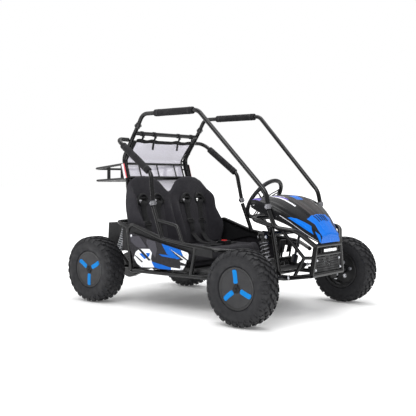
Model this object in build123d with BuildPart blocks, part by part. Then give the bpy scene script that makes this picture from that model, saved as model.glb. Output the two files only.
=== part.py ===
from build123d import *
import math
import os

# Two-seat off-road kart: tube frame with roll cage, twin seats, sprung A-arms in front, a sprung
# swing arm with a live axle behind. Millimetres. +X points forward, +Y to the left, +Z up.
# The origin is on the ground, at the middle of the whole kart.

os.makedirs("parts", exist_ok=True)

# ---- driving dimensions ----
wheelbase = 1200.0
front_x = wheelbase / 2
rear_x = -wheelbase / 2
wheel_r = 203.0
front_half_track = 534.0
rear_half_track = 440.0
front_tyre_w = 132.0
rear_tyre_w = 148.0
rim_seat_r = 101.0
rim_lip_r = 111.0

tube_r = 12.7
light_tube_r = 9.5
tube_wall = 2.0
foam_r = 21.5
running = 0.05
gap = 0.3

floor_z = 215.0
side_y = 430.0
hoop_y = 294.0
roof_z = 1158.0
seat_y = 205.0
bumper_x = 788.0

cap_phase = {"front": 97.5, "rear": 28.0}

sides = {"left": 1, "right": -1}


# ---- helpers ----
def save(builder, label):
    """Labels a finished piece and writes its STEP."""
    builder.part.label = label
    export_step(builder.part, f"parts/{label}.step")


def tube(points, radius=tube_r, bends=60, wall=0):
    """Adds a tube on straight runs joined by arcs. A wall of 0 makes it solid."""
    with BuildLine(mode=Mode.PRIVATE) as run:
        if len(points) == 2:
            Line(*points)
        else:
            FilletPolyline(*points, radius=bends)
    start = Plane(origin=run.line @ 0, z_dir=run.line % 0)
    with BuildSketch(start, mode=Mode.PRIVATE) as section:
        Circle(radius)
        if wall:
            Circle(radius - wall, mode=Mode.SUBTRACT)
    sweep(section.sketch, path=run.line)


def rod(start, end, radius, mode=Mode.ADD):
    """Adds or cuts a straight round bar between two points."""
    axis = Vector(*end) - Vector(*start)
    with BuildSketch(Plane(origin=start, z_dir=axis), mode=Mode.PRIVATE) as section:
        Circle(radius)
    extrude(section.sketch, amount=axis.length, dir=axis.normalized(), mode=mode)


def block(low, high, mode=Mode.ADD):
    """Adds or cuts a box given by its lowest and highest corners."""
    middle = [(a + b) / 2 for a, b in zip(low, high)]
    size = [b - a for a, b in zip(low, high)]
    with Locations(tuple(middle)):
        Box(*size, mode=mode)


def side_block(low, high, side):
    """Adds a box given for the left side, on the given side."""
    near, far = sorted((side * low[1], side * high[1]))
    block((low[0], near, low[2]), (high[0], far, high[2]))


def ring(centre, axis, outer, inner, length):
    """Adds a ring centred on a point."""
    axis = Vector(*axis).normalized()
    base = Vector(*centre) - axis * (length / 2)
    with BuildSketch(Plane(origin=base, z_dir=axis), mode=Mode.PRIVATE) as section:
        Circle(outer)
        Circle(inner, mode=Mode.SUBTRACT)
    extrude(section.sketch, amount=length, dir=axis)


def hex_head(centre, axis, across=13.0, height=6.0):
    """Adds a bolt head that stands on a point, along an axis."""
    axis = Vector(*axis).normalized()
    with BuildSketch(Plane(origin=centre, z_dir=axis), mode=Mode.PRIVATE) as section:
        RegularPolygon(across / 2, 6, major_radius=False)
    extrude(section.sketch, amount=height, dir=axis)


def along(start, end, distance):
    """The point at a distance from start towards end."""
    step = (Vector(*end) - Vector(*start)).normalized() * distance
    return tuple(Vector(*start) + step)


def flip(point, side):
    """The point on the given side: 1 is left, -1 is right."""
    x, y, z = point
    return (x, side * y, z)


# ---- frame points, left side ----
rail_rear = (-345, 262, floor_z)
lower_rail = [
    rail_rear,
    (-326, side_y, floor_z),
    (300, side_y, floor_z + 3),
    (468, 200, floor_z + 5),
    (640, 200, floor_z + 6),
    (bumper_x, 165, 243),
]
hoop_foot = (-345, hoop_y, floor_z)
hoop_leg = [
    hoop_foot,
    (-450, hoop_y, 485),
    (-469, hoop_y, 766),
    (-504, hoop_y - 1, 890),
    (-385, 297, 1071),
]
rail_top = [
    (-303, side_y + 2, floor_z),
    (-322, 441, 504),
    (-44, 441, 416),
    (160, 440, 389),
    (330, 425, 371),
    (545, 214, 350),
]
side_bar_joint = (-117, 434, 598)
side_bar_foot = (-44, 441, 416)
pillar_joint = (584, 274, 592)
pillar_base = (623, 270, 500)
roof_joint = (-383, 297, 1074)

# ---- lower frame ----
swing_tabs_y = [148, 196]
arm_axis_y = 228.0
arm_axis_z = 232.0
arm_bushes_x = [562, 655]

with BuildPart() as lower_frame:
    for side in sides.values():
        tube([flip(p, side) for p in lower_rail], bends=[55, 90, 90, 120])
    for x, y, z in [
        (rail_rear[0], 262, floor_z),
        (-120, side_y, floor_z + 1),
        (150, side_y, floor_z + 2),
        (468, 205, floor_z + 5),
        (bumper_x, 166, 243),
    ]:
        rod((x, -y, z), (x, y, z), tube_r)
    for side in sides.values():
        rod((rail_rear[0], side * 120, floor_z), (468, side * 120, floor_z + 5), tube_r)
        for tab_y in swing_tabs_y:
            low_y = side * tab_y - 3
            block((-398, low_y, floor_z - 13), (-350, low_y + 6, floor_z + 13))
        rod((-385, side * 140, floor_z), (-385, side * 204, floor_z), 6)
        for x in arm_bushes_x:
            for tab_x in (x - 24, x + 20):
                side_block((tab_x, 205, arm_axis_z - 11), (tab_x + 4, 240, arm_axis_z + 11), side)
            middle = (x, side * arm_axis_y, arm_axis_z)
            rod((x - 28, *middle[1:]), (x + 28, *middle[1:]), 5)
save(lower_frame, "lower_frame")

# ---- side rails, each with its posts, side bar stub and grab hoop ----
with BuildPart() as side_rails:
    for side in sides.values():
        tube([flip(p, side) for p in rail_top], bends=[42, 400, 500, 120])
        rod(flip(side_bar_foot, side), flip(side_bar_joint, side), tube_r)
        tube(
            [flip(p, side) for p in [(-92, 438, 526), (66, 434, 495), (114, 439, 397)]],
            radius=light_tube_r,
            bends=32,
        )
        rod((205, side * 436, 385), (166, side * side_y, floor_z + 3), tube_r)
        tube(
            [flip(p, side) for p in [(-316, 438, 462), (-414, 432, 503), (-447, 306, 503)]],
            radius=light_tube_r,
            bends=34,
        )
    add(lower_frame.part, mode=Mode.SUBTRACT)
save(side_rails, "side_rails")

# ---- front frame: pillar stubs, upper rails, bumper, dash hoop, shock towers ----
column_top = (240, 180, 639)
column_dir = (math.cos(math.radians(35)), 0, -math.sin(math.radians(35)))
column_r = 10.0
tower = (575, 318, 452)


def on_column(distance):
    """The point on the steering column's axis at a distance in front of the wheel."""
    return tuple(Vector(*column_top) + Vector(*column_dir) * distance)


dash_corner = (446, 250, 545)
brace_knee = (750, 178, 338)
upper_rail = [pillar_joint, pillar_base, (735, 232, 485), (bumper_x + 4, 132, 400)]
column_bearing = on_column(252)

dash_foot = (612, 262, 506)
dash_brace = (583, 262, 466)
bumper_bar = (bumper_x + 4, 132, 400)
lamp_bar = (bumper_x + 3, 141, 350)
foot_bar = (470, 120, 300)
with BuildPart() as front_frame:
    for side in sides.values():
        tube([flip(p, side) for p in upper_rail], bends=[45, 70])
        rod(flip((608, 203, 226), side), flip((597, 262, 508), side), tube_r)
        rod(flip((bumper_x + 4, 131, 400), side), flip((bumper_x, 165, 243), side), tube_r)
        rod(flip((694, 189, 232), side), flip(brace_knee, side), light_tube_r)
        rod(flip(brace_knee, side), flip((650, 256, 494), side), light_tube_r)
        rod(flip(brace_knee, side), flip((bumper_x + 2, 144, 338), side), light_tube_r)
        side_block((tower[0] - 19, 304, tower[2] + 14), (tower[0] + 19, 332, tower[2] + 26), side)
        rod(flip((582, 262, 470), side), flip((578, 318, 476), side), light_tube_r)
        for x in (tower[0] - 19, tower[0] + 15):
            side_block((x, 304, tower[2] - 12), (x + 4, 332, tower[2] + 26), side)
        rod((tower[0] - 22, side * tower[1], tower[2]), (tower[0] + 22, side * tower[1], tower[2]), 5)
    tube([dash_foot, dash_corner, flip(dash_corner, -1), flip(dash_foot, -1)], bends=[60, 60])
    rod(flip(dash_brace, -1), dash_brace, tube_r)
    for end, radius in ((bumper_bar, tube_r), (lamp_bar, light_tube_r), (foot_bar, light_tube_r)):
        rod(flip(end, -1), end, radius)
    for side in sides.values():
        rod(flip(foot_bar, side), (foot_bar[0] - 2, side * foot_bar[1], floor_z + 5), light_tube_r)
    block((column_bearing[0] - 9, 168, column_bearing[2] + 8), (column_bearing[0] + 9, 192, 545))
    rod(along(column_bearing, column_top, 14), along(column_bearing, column_top, -14), 17)
    rod(
        along(column_bearing, column_top, 20),
        along(column_bearing, column_top, -20),
        column_r + running,
        mode=Mode.SUBTRACT,
    )
    add(lower_frame.part, mode=Mode.SUBTRACT)
save(front_frame, "front_frame")

# ---- main hoop with crossbars, harness bar and battery tray ----
shock_top = (-430, 338, 478)
tray_z = 372.0
crossbar = (-469, 766)
harness_bar = (-451, 490)
net_bar = (-403, 1043)
tray_bar_x = -634.0
with BuildPart() as main_hoop:
    for side in sides.values():
        tube([flip(p, side) for p in hoop_leg], bends=[160, 200, 70])
        rod((-398, side * hoop_y, tray_z - 16), (tray_bar_x - 6, side * 200, tray_z), tube_r)
        for y in (hoop_y + 30, hoop_y + 54):
            side_block((shock_top[0] - 13, y, shock_top[2] - 12), (shock_top[0] + 13, y + 4, 503), side)
        pin = (shock_top[0], side * 320, shock_top[2])
        rod(pin, flip((shock_top[0], 356, shock_top[2]), side), 5)
    rod((net_bar[0], -296, net_bar[1]), (net_bar[0], 296, net_bar[1]), tube_r)
    for x, z in (crossbar, harness_bar):
        rod((x, -hoop_y, z), (x, hoop_y, z), tube_r)
    rod((tray_bar_x, -204, tray_z), (tray_bar_x, 204, tray_z), tube_r)
    add(lower_frame.part, mode=Mode.SUBTRACT)
    add(side_rails.part, mode=Mode.SUBTRACT)
save(main_hoop, "main_hoop")

# ---- bolt-on cage bars ----
roof_bar_path = [roof_joint, (-333, 297, roof_z), (110, 305, roof_z), (564, 270, 690), (583.0, 273.8, 597)]
side_bar_path = [(-447, 311, 1003), (-441, 414, 1004), (-151, 419, 794), (-118, 433.5, 604)]
with BuildPart() as roof_bars:
    for side in sides.values():
        tube([flip(p, side) for p in roof_bar_path], bends=[60, 62, 90], wall=tube_wall)
save(roof_bars, "roof_bars")

with BuildPart() as side_bars:
    for side in sides.values():
        tube([flip(p, side) for p in side_bar_path], bends=[52, 60], wall=tube_wall)
save(side_bars, "side_bars")

with BuildPart() as foam_pads:
    for side in sides.values():
        for start, end, near, far in [
            (roof_bar_path[1], roof_bar_path[2], 105, 408),
            (side_bar_path[1], side_bar_path[2], 68, 338),
        ]:
            low = along(start, end, near)
            high = along(start, end, far)
            middle = (Vector(*low) + Vector(*high)) * 0.5
            axis = Vector(*high) - Vector(*low)
            ring(flip(tuple(middle), side), flip(tuple(axis), side), foam_r, tube_r + gap, axis.length)
save(foam_pads, "foam_pads")

# ---- cargo rack: two side walls, two rear bars, a front ladder and a floor grid, a hair apart ----
rack_rear = -802.0
rack_bar_r = 7.5
rack_rod_r = 4.5
rack_corner = 30.0
rack_rim = [(-498, 279, 857), (rack_rear, 262, 826)]
rack_foot = [(-484, 279, 764), (rack_rear + 3, 259, 748)]
strap_half_w = 13.0
strap_xs = (-665, -535)
ladder_ys = (-168, 0, 168)
floor_rod_ys = (-200, -120, -40, 40, 120, 200)
floor_cross_xs = (-730, -640, -560)
floor_front_x = -493.0
rack_gap = 1.0


def on_rail(rail, x):
    """The point of a straight side rail at an x."""
    front, rear = rail
    t = (x - front[0]) / (rear[0] - front[0])
    return tuple(a + (b - a) * t for a, b in zip(front, rear))


with BuildPart() as cargo_rack:
    for front, rear in (rack_rim, rack_foot):
        bend = along(rear, front, rack_corner + 2)
        for side in sides.values():
            rod(flip(front, side), flip(along(bend, front, gap), side), rack_bar_r)
        rear_bar = [bend, rear, flip(rear, -1), flip(bend, -1)]
        tube(rear_bar, radius=rack_bar_r, bends=[rack_corner, rack_corner])
    for side in sides.values():
        for x in strap_xs:
            _, rim_y, rim_z = on_rail(rack_rim, x)
            foot_z = on_rail(rack_foot, x)[2]
            side_block((x - strap_half_w, rim_y - 4, foot_z), (x + strap_half_w, rim_y + 1, rim_z), side)
    front_x_rim, front_y_rim, front_z_rim = rack_rim[0]
    bar_half = front_y_rim - rack_bar_r - rack_gap
    rod((front_x_rim, -bar_half, front_z_rim), (front_x_rim, bar_half, front_z_rim), rack_bar_r)
    for y in ladder_ys:
        rod((front_x_rim, y, front_z_rim), (crossbar[0], y, crossbar[1]), rack_rod_r)
    rear_x_foot, _, rear_z_foot = rack_foot[1]
    for y in floor_rod_ys:
        rod_end = (rear_x_foot + rack_bar_r + rack_gap, y, rear_z_foot)
        rod((floor_front_x, y, rack_foot[0][2]), rod_end, rack_rod_r)
    for x in floor_cross_xs:
        _, foot_y, foot_z = on_rail(rack_foot, x)
        rod_half = foot_y - rack_bar_r - rack_gap
        rod((x, -rod_half, foot_z), (x, rod_half, foot_z), rack_rod_r)
    add(main_hoop.part, mode=Mode.SUBTRACT)
save(cargo_rack, "cargo_rack")

# ---- wind net, with the straps that hang it from the crossbar ----
net_t = 2.0
net_half_w = 268.0
net_line = [(-414, 1012), (-510, 884), (-510, 848), (-486, 772), (-486, 752), (-456, 600)]
net_tab_ys = (-235, -124, 107, 235)
with BuildPart() as wind_net:
    with BuildSketch(Plane.XZ.offset(-net_half_w)) as net_profile:
        with BuildLine():
            Polyline(*net_line, *[(x + net_t, z) for x, z in reversed(net_line)], close=True)
        make_face()
    extrude(amount=2 * net_half_w)
    for y in net_tab_ys:
        ring((net_bar[0], y, net_bar[1]), (0, 1, 0), tube_r + 2.5, tube_r + gap, 24)
        block((-390, y - 12, 1014), (-388, y + 12, 1044))
save(wind_net, "wind_net")

# ---- floor pan, with the two pedal stands ----
pan_z = floor_z + 20
pan_t = 2.0
floor_bolt_x = 270.0
floor_bolt_spacing = (160.0, 320.0)
floor_bolt_r = 4.5
pedal_x = 400.0
pedal_z = 257.0
pedal_places = {"brake_pedal": (118, 62), "throttle_pedal": (206, 46)}
with BuildPart() as floor_pan:
    with BuildSketch(Plane.XY.offset(pan_z)):
        with BuildLine():
            Polyline(
                (-330, -400), (296, -412), (455, -190), (455, 190), (296, 412), (-330, 400), close=True
            )
        make_face()
        with Locations((floor_bolt_x, 0)):
            with GridLocations(*floor_bolt_spacing, 2, 2):
                Circle(floor_bolt_r, mode=Mode.SUBTRACT)
    extrude(amount=pan_t)
    for side in sides.values():
        side_block((-330, 398, pan_z), (290, 400, pan_z + 22), side)
    for y, _ in pedal_places.values():
        for tab_y in (y - 22, y + 18):
            block((pedal_x - 12, tab_y, pan_z + 1), (pedal_x + 12, tab_y + 4, pedal_z + 10))
        block((pedal_x - 16, y - 22, pan_z + 1), (pedal_x + 16, y + 22, pan_z + 5))
        rod((pedal_x, y - 22, pedal_z), (pedal_x, y + 22, pedal_z), 5)
save(floor_pan, "floor_pan")

# ---- side panels ----
panel_t = 4.0
panel_y = side_y + 24
with BuildPart() as side_panels:
    for side in sides.values():
        low = min(side * panel_y, side * (panel_y + panel_t))
        with BuildSketch(Plane.XZ.offset(-low - panel_t)):
            with BuildLine():
                Polyline(
                    (-297, 447), (-60, 398), (182, 352), (137, 246), (-205, 239), (-262, 288), (-292, 372),
                    close=True
                )
            make_face()
            fillet(vertices(), radius=14)
        extrude(amount=panel_t)
        for x, z in [(-262, 420), (150, 336), (-190, 252), (115, 256)]:
            rod((x, side * (panel_y - 8), z), (x, side * panel_y, z), 8)
save(side_panels, "side_panels")

# ---- front cowl: one thin moulded shell, open below and behind ----
# each station: x, crest z, shoulder half width, shoulder z, sill half width, sill z
cowl_stations = [
    (448, 668, 232, 652, 250, 612),
    (500, 676, 236, 650, 256, 588),
    (585, 664, 232, 625, 254, 556),
    (670, 618, 200, 575, 214, 516),
    (745, 556, 150, 512, 160, 462),
    (809, 470, 92, 452, 104, 417),
]
cowl_t = 3.0


def cowl_section(station, inset, stretch=0.0):
    """One arched section of the cowl, drawn in by the wall's thickness."""
    x, crest, shoulder, shoulder_z, sill, sill_z = station
    with BuildSketch(Plane.YZ.offset(x + stretch), mode=Mode.PRIVATE) as arch:
        with BuildLine():
            Polyline(
                (0, crest - inset),
                (shoulder * 0.5, crest - inset - (crest - shoulder_z) * 0.3),
                (shoulder - inset, shoulder_z - inset),
                (sill - inset, sill_z - 2 * inset),
                (-sill + inset, sill_z - 2 * inset),
                (-shoulder + inset, shoulder_z - inset),
                (-shoulder * 0.5, crest - inset - (crest - shoulder_z) * 0.3),
                close=True,
            )
        make_face()
    return arch.sketch


with BuildPart() as cowl_core:
    nose = cowl_section(cowl_stations[-1], cowl_t, stretch=-cowl_t)
    loft([cowl_section(station, cowl_t) for station in cowl_stations[:-1]] + [nose], ruled=True)

with BuildPart() as front_cowl:
    loft([cowl_section(station, 0) for station in cowl_stations], ruled=True)
    add(cowl_core.part, mode=Mode.SUBTRACT)
    block((430, -300, 600), (448, 300, 700), mode=Mode.SUBTRACT)
    for y in (-26, 0, 26):
        block((640, y - 4, 560), (690, y + 4, 700), mode=Mode.SUBTRACT)
save(front_cowl, "front_cowl")

# ---- bumper grille, light bar, reflectors ----
with BuildPart() as front_grille:
    lean = Plane(origin=(bumper_x + 2, 0, 296), x_dir=(0, 1, 0), z_dir=(1, 0, -0.09))
    with BuildSketch(lean):
        with BuildLine():
            Polyline((-128, 42), (128, 42), (146, -38), (-146, -38), close=True)
        make_face()
        with GridLocations(14, 14, 16, 5):
            Circle(4.2, mode=Mode.SUBTRACT)
    extrude(amount=2.5)
save(front_grille, "front_grille")

with BuildPart() as light_bar:
    block((bumper_x + 4, -72, 363), (bumper_x + 19, 72, 385))
    fillet(edges().filter_by(Axis.Y), radius=4)
    for y in (-80, 80):
        block((bumper_x + 7, y - 8, 367), (bumper_x + 13, y + 8, 381))
        block((bumper_x + 7, y - 4, 360), (bumper_x + 10, y + 4, 368))
save(light_bar, "light_bar")

with BuildPart() as reflectors:
    leg_low, leg_high = hoop_leg[2:4]
    leg_dir = (Vector(*leg_high) - Vector(*leg_low)).normalized()
    for side in sides.values():
        x, y, z = along(leg_low, leg_high, 47)
        face = Plane(
            origin=(x, side * (y + tube_r + gap), z),
            x_dir=(leg_dir.Z, 0, -leg_dir.X),
            z_dir=(0, side, 0),
        )
        with BuildSketch(face):
            RectangleRounded(26, 96, 4)
        extrude(amount=4)
save(reflectors, "reflectors")

# ---- battery pack under its rear cover ----
with BuildPart() as battery_pack:
    block((-632, -270, tray_z + 16), (-492, 270, tray_z + 92))
    fillet(edges().filter_by(Axis.Z), radius=6)
    for y in (-60, 60):
        with Locations((-560, y, tray_z + 92)):
            Cylinder(7, 6, align=(Align.CENTER, Align.CENTER, Align.MIN))
save(battery_pack, "battery_pack")

cover_low_z = 337.0
cover_high_z = 483.0
cover_t = 2.5
cover_x = -562.0
cover_length = 182.0
cover_width = 596.0
with BuildPart() as rear_cover:
    cover_h = cover_high_z - cover_low_z
    with BuildSketch(Plane.XY.offset(cover_low_z)):
        with Locations((cover_x, 0)):
            Rectangle(cover_length, cover_width)
        fillet(vertices(), radius=14)
    extrude(amount=cover_h, taper=2.5)
    with BuildSketch(Plane.XY.offset(cover_low_z)):
        with Locations((cover_x, 0)):
            Rectangle(cover_length - 2 * cover_t, cover_width - 2 * cover_t)
        fillet(vertices(), radius=12)
    extrude(amount=cover_h - cover_t, taper=2.5, mode=Mode.SUBTRACT)
    add(main_hoop.part, mode=Mode.SUBTRACT)
save(rear_cover, "rear_cover")

# ---- seats: a twin back with two crowns, and one base ----
seat_lean = 11.5
seat_lean_run = math.tan(math.radians(seat_lean))
slot_z = 625.0
slot_x = -366.0
slot_offset = 67.5
back_plane = Plane(
    origin=(slot_x, 0, slot_z),
    x_dir=(0, 1, 0),
    z_dir=(math.cos(math.radians(seat_lean)), 0, math.sin(math.radians(seat_lean))),
)
back_t = 30.0
cushion_top = 340.0
back_half = [(14, 688), (38, 706), (84, 752), (128, 773), (208, 784), (282, 777), (332, 755), (356, 731)]
back_half += [(373, 690), (388, 640), (402, 540), (396, 460), (384, 351)]


def back_x(z):
    """The x of the back's front surface at a height."""
    return slot_x + (slot_z - z) * seat_lean_run


def in_back(y, z):
    """A height and a y, as a point of the back's plane."""
    return (y, (z - slot_z) / math.cos(math.radians(seat_lean)))


# each rise: a height, and how far the bolster stands in front of the back there
wing_rise = [(770, 0), (735, 34), (690, 58), (650, 70), (610, 62), (570, 52)]
wing_rise += [(520, 76), (470, 96), (430, 100), (390, 92), (351, 80)]
inner_rise = [(648, 0), (566, 36), (470, 66), (400, 82), (351, 74)]
bolster_root = 10.0


def back_outline(half):
    """The closed outline of the twin back, from the middle of its top down one side."""
    right = [in_back(-y, z) for y, z in half]
    left = [in_back(y, z) for y, z in reversed(half)]
    return Polyline(*right, *left, close=True)


with BuildPart() as bolsters:
    for low_y, high_y, rises in [
        (-402, -352, wing_rise), (352, 402, wing_rise), (-60, -12, inner_rise), (12, 60, inner_rise)
    ]:
        top_z = rises[0][0]
        low_z = rises[-1][0]
        with BuildSketch(Plane.XZ.offset(-low_y)):
            with BuildLine():
                front = [(back_x(z) + rise, z) for z, rise in rises]
                root = [(back_x(low_z) - bolster_root, low_z), (back_x(top_z) - bolster_root, top_z)]
                Polyline(*front, *root, close=True)
            make_face()
        extrude(amount=low_y - high_y)
    with BuildSketch(back_plane.offset(-back_t)):
        with BuildLine():
            back_outline(back_half[:-1] + [(back_half[-1][0], 300)])
        make_face()
    extrude(amount=back_t + 140, mode=Mode.INTERSECT)

with BuildPart() as seat_back:
    with BuildSketch(back_plane):
        with BuildLine():
            back_outline(back_half)
        make_face()
        for centre in (-seat_y, seat_y):
            with Locations((centre - slot_offset, 0), (centre + slot_offset, 0)):
                SlotOverall(62, 24, mode=Mode.SUBTRACT)
    extrude(amount=-back_t)
    add(bolsters.part)
save(seat_back, "seat_back")

with BuildPart() as seat_base:
    with BuildSketch(Plane.XZ.offset(-392)):
        with BuildLine():
            Polyline(
                (-322, pan_z + 3), (20, pan_z + 3), (62, 270), (66, 318), (40, cushion_top),
                (-322, cushion_top), close=True
            )
        make_face()
    extrude(amount=784)
save(seat_base, "seat_base")

# ---- harness: webbing, slot bezels, buckles and their buttons ----
web_w = 46.0
web_t = 2.5
buckle_x = -92.0
shoulder_line = [(back_x(600) + 2, 600), (back_x(440) + 2, 440), (-244, 362), (buckle_x - 34, 350)]
with BuildPart() as harness_webbing:
    for centre in (-seat_y, seat_y):
        for y in (centre - slot_offset, centre + slot_offset):
            with BuildSketch(Plane.XZ.offset(-y - web_w / 2)):
                with BuildLine():
                    Polyline(
                        *shoulder_line,
                        *[(x + web_t, z + web_t) for x, z in reversed(shoulder_line)],
                        close=True
                    )
                make_face()
            extrude(amount=web_w)
        for low_y, high_y in [(centre - 180, centre - 34), (centre + 34, centre + 180)]:
            lap_low = (buckle_x - web_w / 2, low_y, cushion_top + gap)
            block(lap_low, (buckle_x + web_w / 2, high_y, cushion_top + gap + web_t))
save(harness_webbing, "harness_webbing")

with BuildPart() as harness_fittings:
    for centre in (-seat_y, seat_y):
        with BuildSketch(back_plane.offset(gap)):
            with Locations((centre - slot_offset, 0), (centre + slot_offset, 0)):
                SlotOverall(86, 46)
                SlotOverall(60, 22, mode=Mode.SUBTRACT)
        extrude(amount=7)
        block(
            (buckle_x - 32, centre - 33, cushion_top + gap),
            (buckle_x + 32, centre + 33, cushion_top + 24),
        )
        block(
            (buckle_x - 14.5, centre - 12.5, cushion_top + 8),
            (buckle_x + 14.5, centre + 12.5, cushion_top + 30),
            mode=Mode.SUBTRACT,
        )
save(harness_fittings, "harness_fittings")

for name, side in sides.items():
    with BuildPart() as buckle_button:
        block(
            (buckle_x - 14, side * seat_y - 12, cushion_top + 13),
            (buckle_x + 14, side * seat_y + 12, cushion_top + 29),
        )
        fillet(edges().group_by(Axis.Z)[-1], radius=2.5)
    save(buckle_button, f"buckle_button_{name}")

# ---- steering: wheel, column, lower shaft, rack ----
driver_dir = tuple(-c for c in column_dir)
wheel_plane = Plane(origin=column_top, x_dir=(0, 1, 0), z_dir=driver_dir)
grip_ring_r = 138.0
grip_r = 13.0
with BuildPart(wheel_plane) as steering_wheel:
    Torus(grip_ring_r, grip_r)
    Cylinder(40, 6)
    with Locations((0, 0, -22)):
        Cylinder(21, 40)
    with BuildSketch(wheel_plane.offset(-2)):
        with PolarLocations(0, 3, start_angle=90):
            with BuildLine():
                Polyline((26, -26), (grip_ring_r - 6, -17), (grip_ring_r - 6, 17), (26, 26), close=True)
            make_face()
            with Locations((82, 0)):
                SlotOverall(52, 18, mode=Mode.SUBTRACT)
    extrude(amount=4)
    with PolarLocations(28, 6):
        Hole(3)
save(steering_wheel, "steering_wheel")

joint_ball = on_column(317)
rack_x = 522.4
rack_z = 254.0
pinion_end = (rack_x + 6, 66, 280)
shaft_r = 8.0
with BuildPart() as steering_column:
    rod(on_column(42.3), joint_ball, column_r)
    with Locations(joint_ball):
        Sphere(12)
save(steering_column, "steering_column")

shaft_axis = (Vector(*joint_ball) - Vector(*pinion_end)).normalized()
with BuildPart() as lower_shaft:
    with Locations(joint_ball):
        Sphere(18)
        Sphere(12.4, mode=Mode.SUBTRACT)
    cup_edge = along(joint_ball, pinion_end, 4)
    rod(cup_edge, tuple(Vector(*joint_ball) + shaft_axis * 30), 30, mode=Mode.SUBTRACT)
    rod(along(joint_ball, pinion_end, 17), pinion_end, shaft_r)
save(lower_shaft, "lower_shaft")

rack_r = 9.0
rack_half = 203.0
with BuildPart() as rack_housing:
    rod((rack_x, -150, rack_z), (rack_x, 150, rack_z), 17)
    rod(along(pinion_end, joint_ball, -8), along(pinion_end, joint_ball, 44), 19)
    shaft_bore = [along(pinion_end, joint_ball, distance) for distance in (-4, 60)]
    rod(*shaft_bore, shaft_r + running, mode=Mode.SUBTRACT)
    rod((rack_x, -160, rack_z), (rack_x, 160, rack_z), rack_r + running, mode=Mode.SUBTRACT)
    for y in (-86, 86):
        block((470, y - 12, rack_z - 30), (rack_x - 12, y + 12, rack_z + 8))
    add(lower_frame.part, mode=Mode.SUBTRACT)
save(rack_housing, "rack_housing")

with BuildPart() as rack_bar:
    rod((rack_x, -rack_half, rack_z), (rack_x, rack_half, rack_z), rack_r)
save(rack_bar, "rack_bar")

# ---- pedals ----
for name, (y, pad_w) in pedal_places.items():
    with BuildPart() as pedal:
        ring((pedal_x, y, pedal_z), (0, 1, 0), 10, 5 + running, 30)
        rod((pedal_x + 1, y, pedal_z + 8), (pedal_x + 18, y, pedal_z + 100), 6)
        with BuildSketch(Plane.XZ.offset(-y - pad_w / 2)):
            with BuildLine():
                Polyline(
                    (pedal_x + 4, 322), (pedal_x + 22, 400), (pedal_x + 17, 402), (pedal_x - 2, 323),
                    close=True
                )
            make_face()
        extrude(amount=pad_w)
    save(pedal, name)

# ---- front suspension ----
kingpin_y = 432.0
steer_arm = 80.0
tower_low = (622, 322, 262)
shock_eye_w = 18.0
kingpin_r = 6.0
shock_pin_r = 5.0
shock_low_bore = 6.2
shock_cylinder_r = 14.0
shock_rod_r = 6.0
spring_seat_r = 27.0
spring_r = 21.8
spring_wire_r = 3.4
front_spring_turns = 7.5
rear_spring_turns = 10.5


def knuckle_point(x, z):
    """A point over the kingpin's line, left side."""
    return (x, kingpin_y, z)


def shock_parts(name, top, bottom, side, eye_axis, spring_turns):
    """Builds a coil-over shock's body, rod and spring between two eyes, on one or both sides."""
    top_v, low_v = Vector(*top), Vector(*bottom)
    length = (low_v - top_v).length
    reach = (low_v - top_v).normalized()
    places = [side] if side else list(sides.values())

    def on_axis(distance, place):
        return flip(tuple(top_v + reach * distance), place)

    with BuildPart() as body:
        for place in places:
            rod(on_axis(9, place), on_axis(20, place), 9)
            rod(on_axis(19.5, place), on_axis(104, place), shock_cylinder_r)
            rod(on_axis(24, place), on_axis(28, place), spring_seat_r)
            ring(on_axis(0, place), eye_axis, 12, 0.1, shock_eye_w)
            rod(on_axis(44, place), on_axis(105, place), shock_rod_r + running, mode=Mode.SUBTRACT)
            hole = Vector(*eye_axis) * shock_eye_w
            centre = Vector(*on_axis(0, place))
            rod(tuple(centre - hole), tuple(centre + hole), shock_pin_r + running, mode=Mode.SUBTRACT)
    save(body, f"{name}_body")
    with BuildPart() as plunger:
        for place in places:
            rod(on_axis(76, place), on_axis(length - 9, place), shock_rod_r)
            rod(on_axis(length - 30, place), on_axis(length - 26, place), spring_seat_r)
            ring(on_axis(length, place), eye_axis, 12.5, 0.1, shock_eye_w)
            hole = Vector(*eye_axis) * shock_eye_w
            centre = Vector(*on_axis(length, place))
            rod(tuple(centre - hole), tuple(centre + hole), shock_low_bore, mode=Mode.SUBTRACT)
    save(plunger, f"{name}_rod")
    with BuildPart() as spring:
        for place in places:
            first, last = 33.0, length - 35.0
            with BuildLine(mode=Mode.PRIVATE) as coil:
                Helix(
                    pitch=(last - first) / spring_turns,
                    height=last - first,
                    radius=spring_r,
                    center=on_axis(first, place),
                    direction=flip(tuple(reach), place),
                )
            start = Plane(origin=coil.line @ 0, z_dir=coil.line % 0)
            with BuildSketch(start, mode=Mode.PRIVATE) as wire:
                Circle(spring_wire_r)
            sweep(wire.sketch, path=coil.line, is_frenet=True)
    save(spring, f"{name}_spring")


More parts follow.
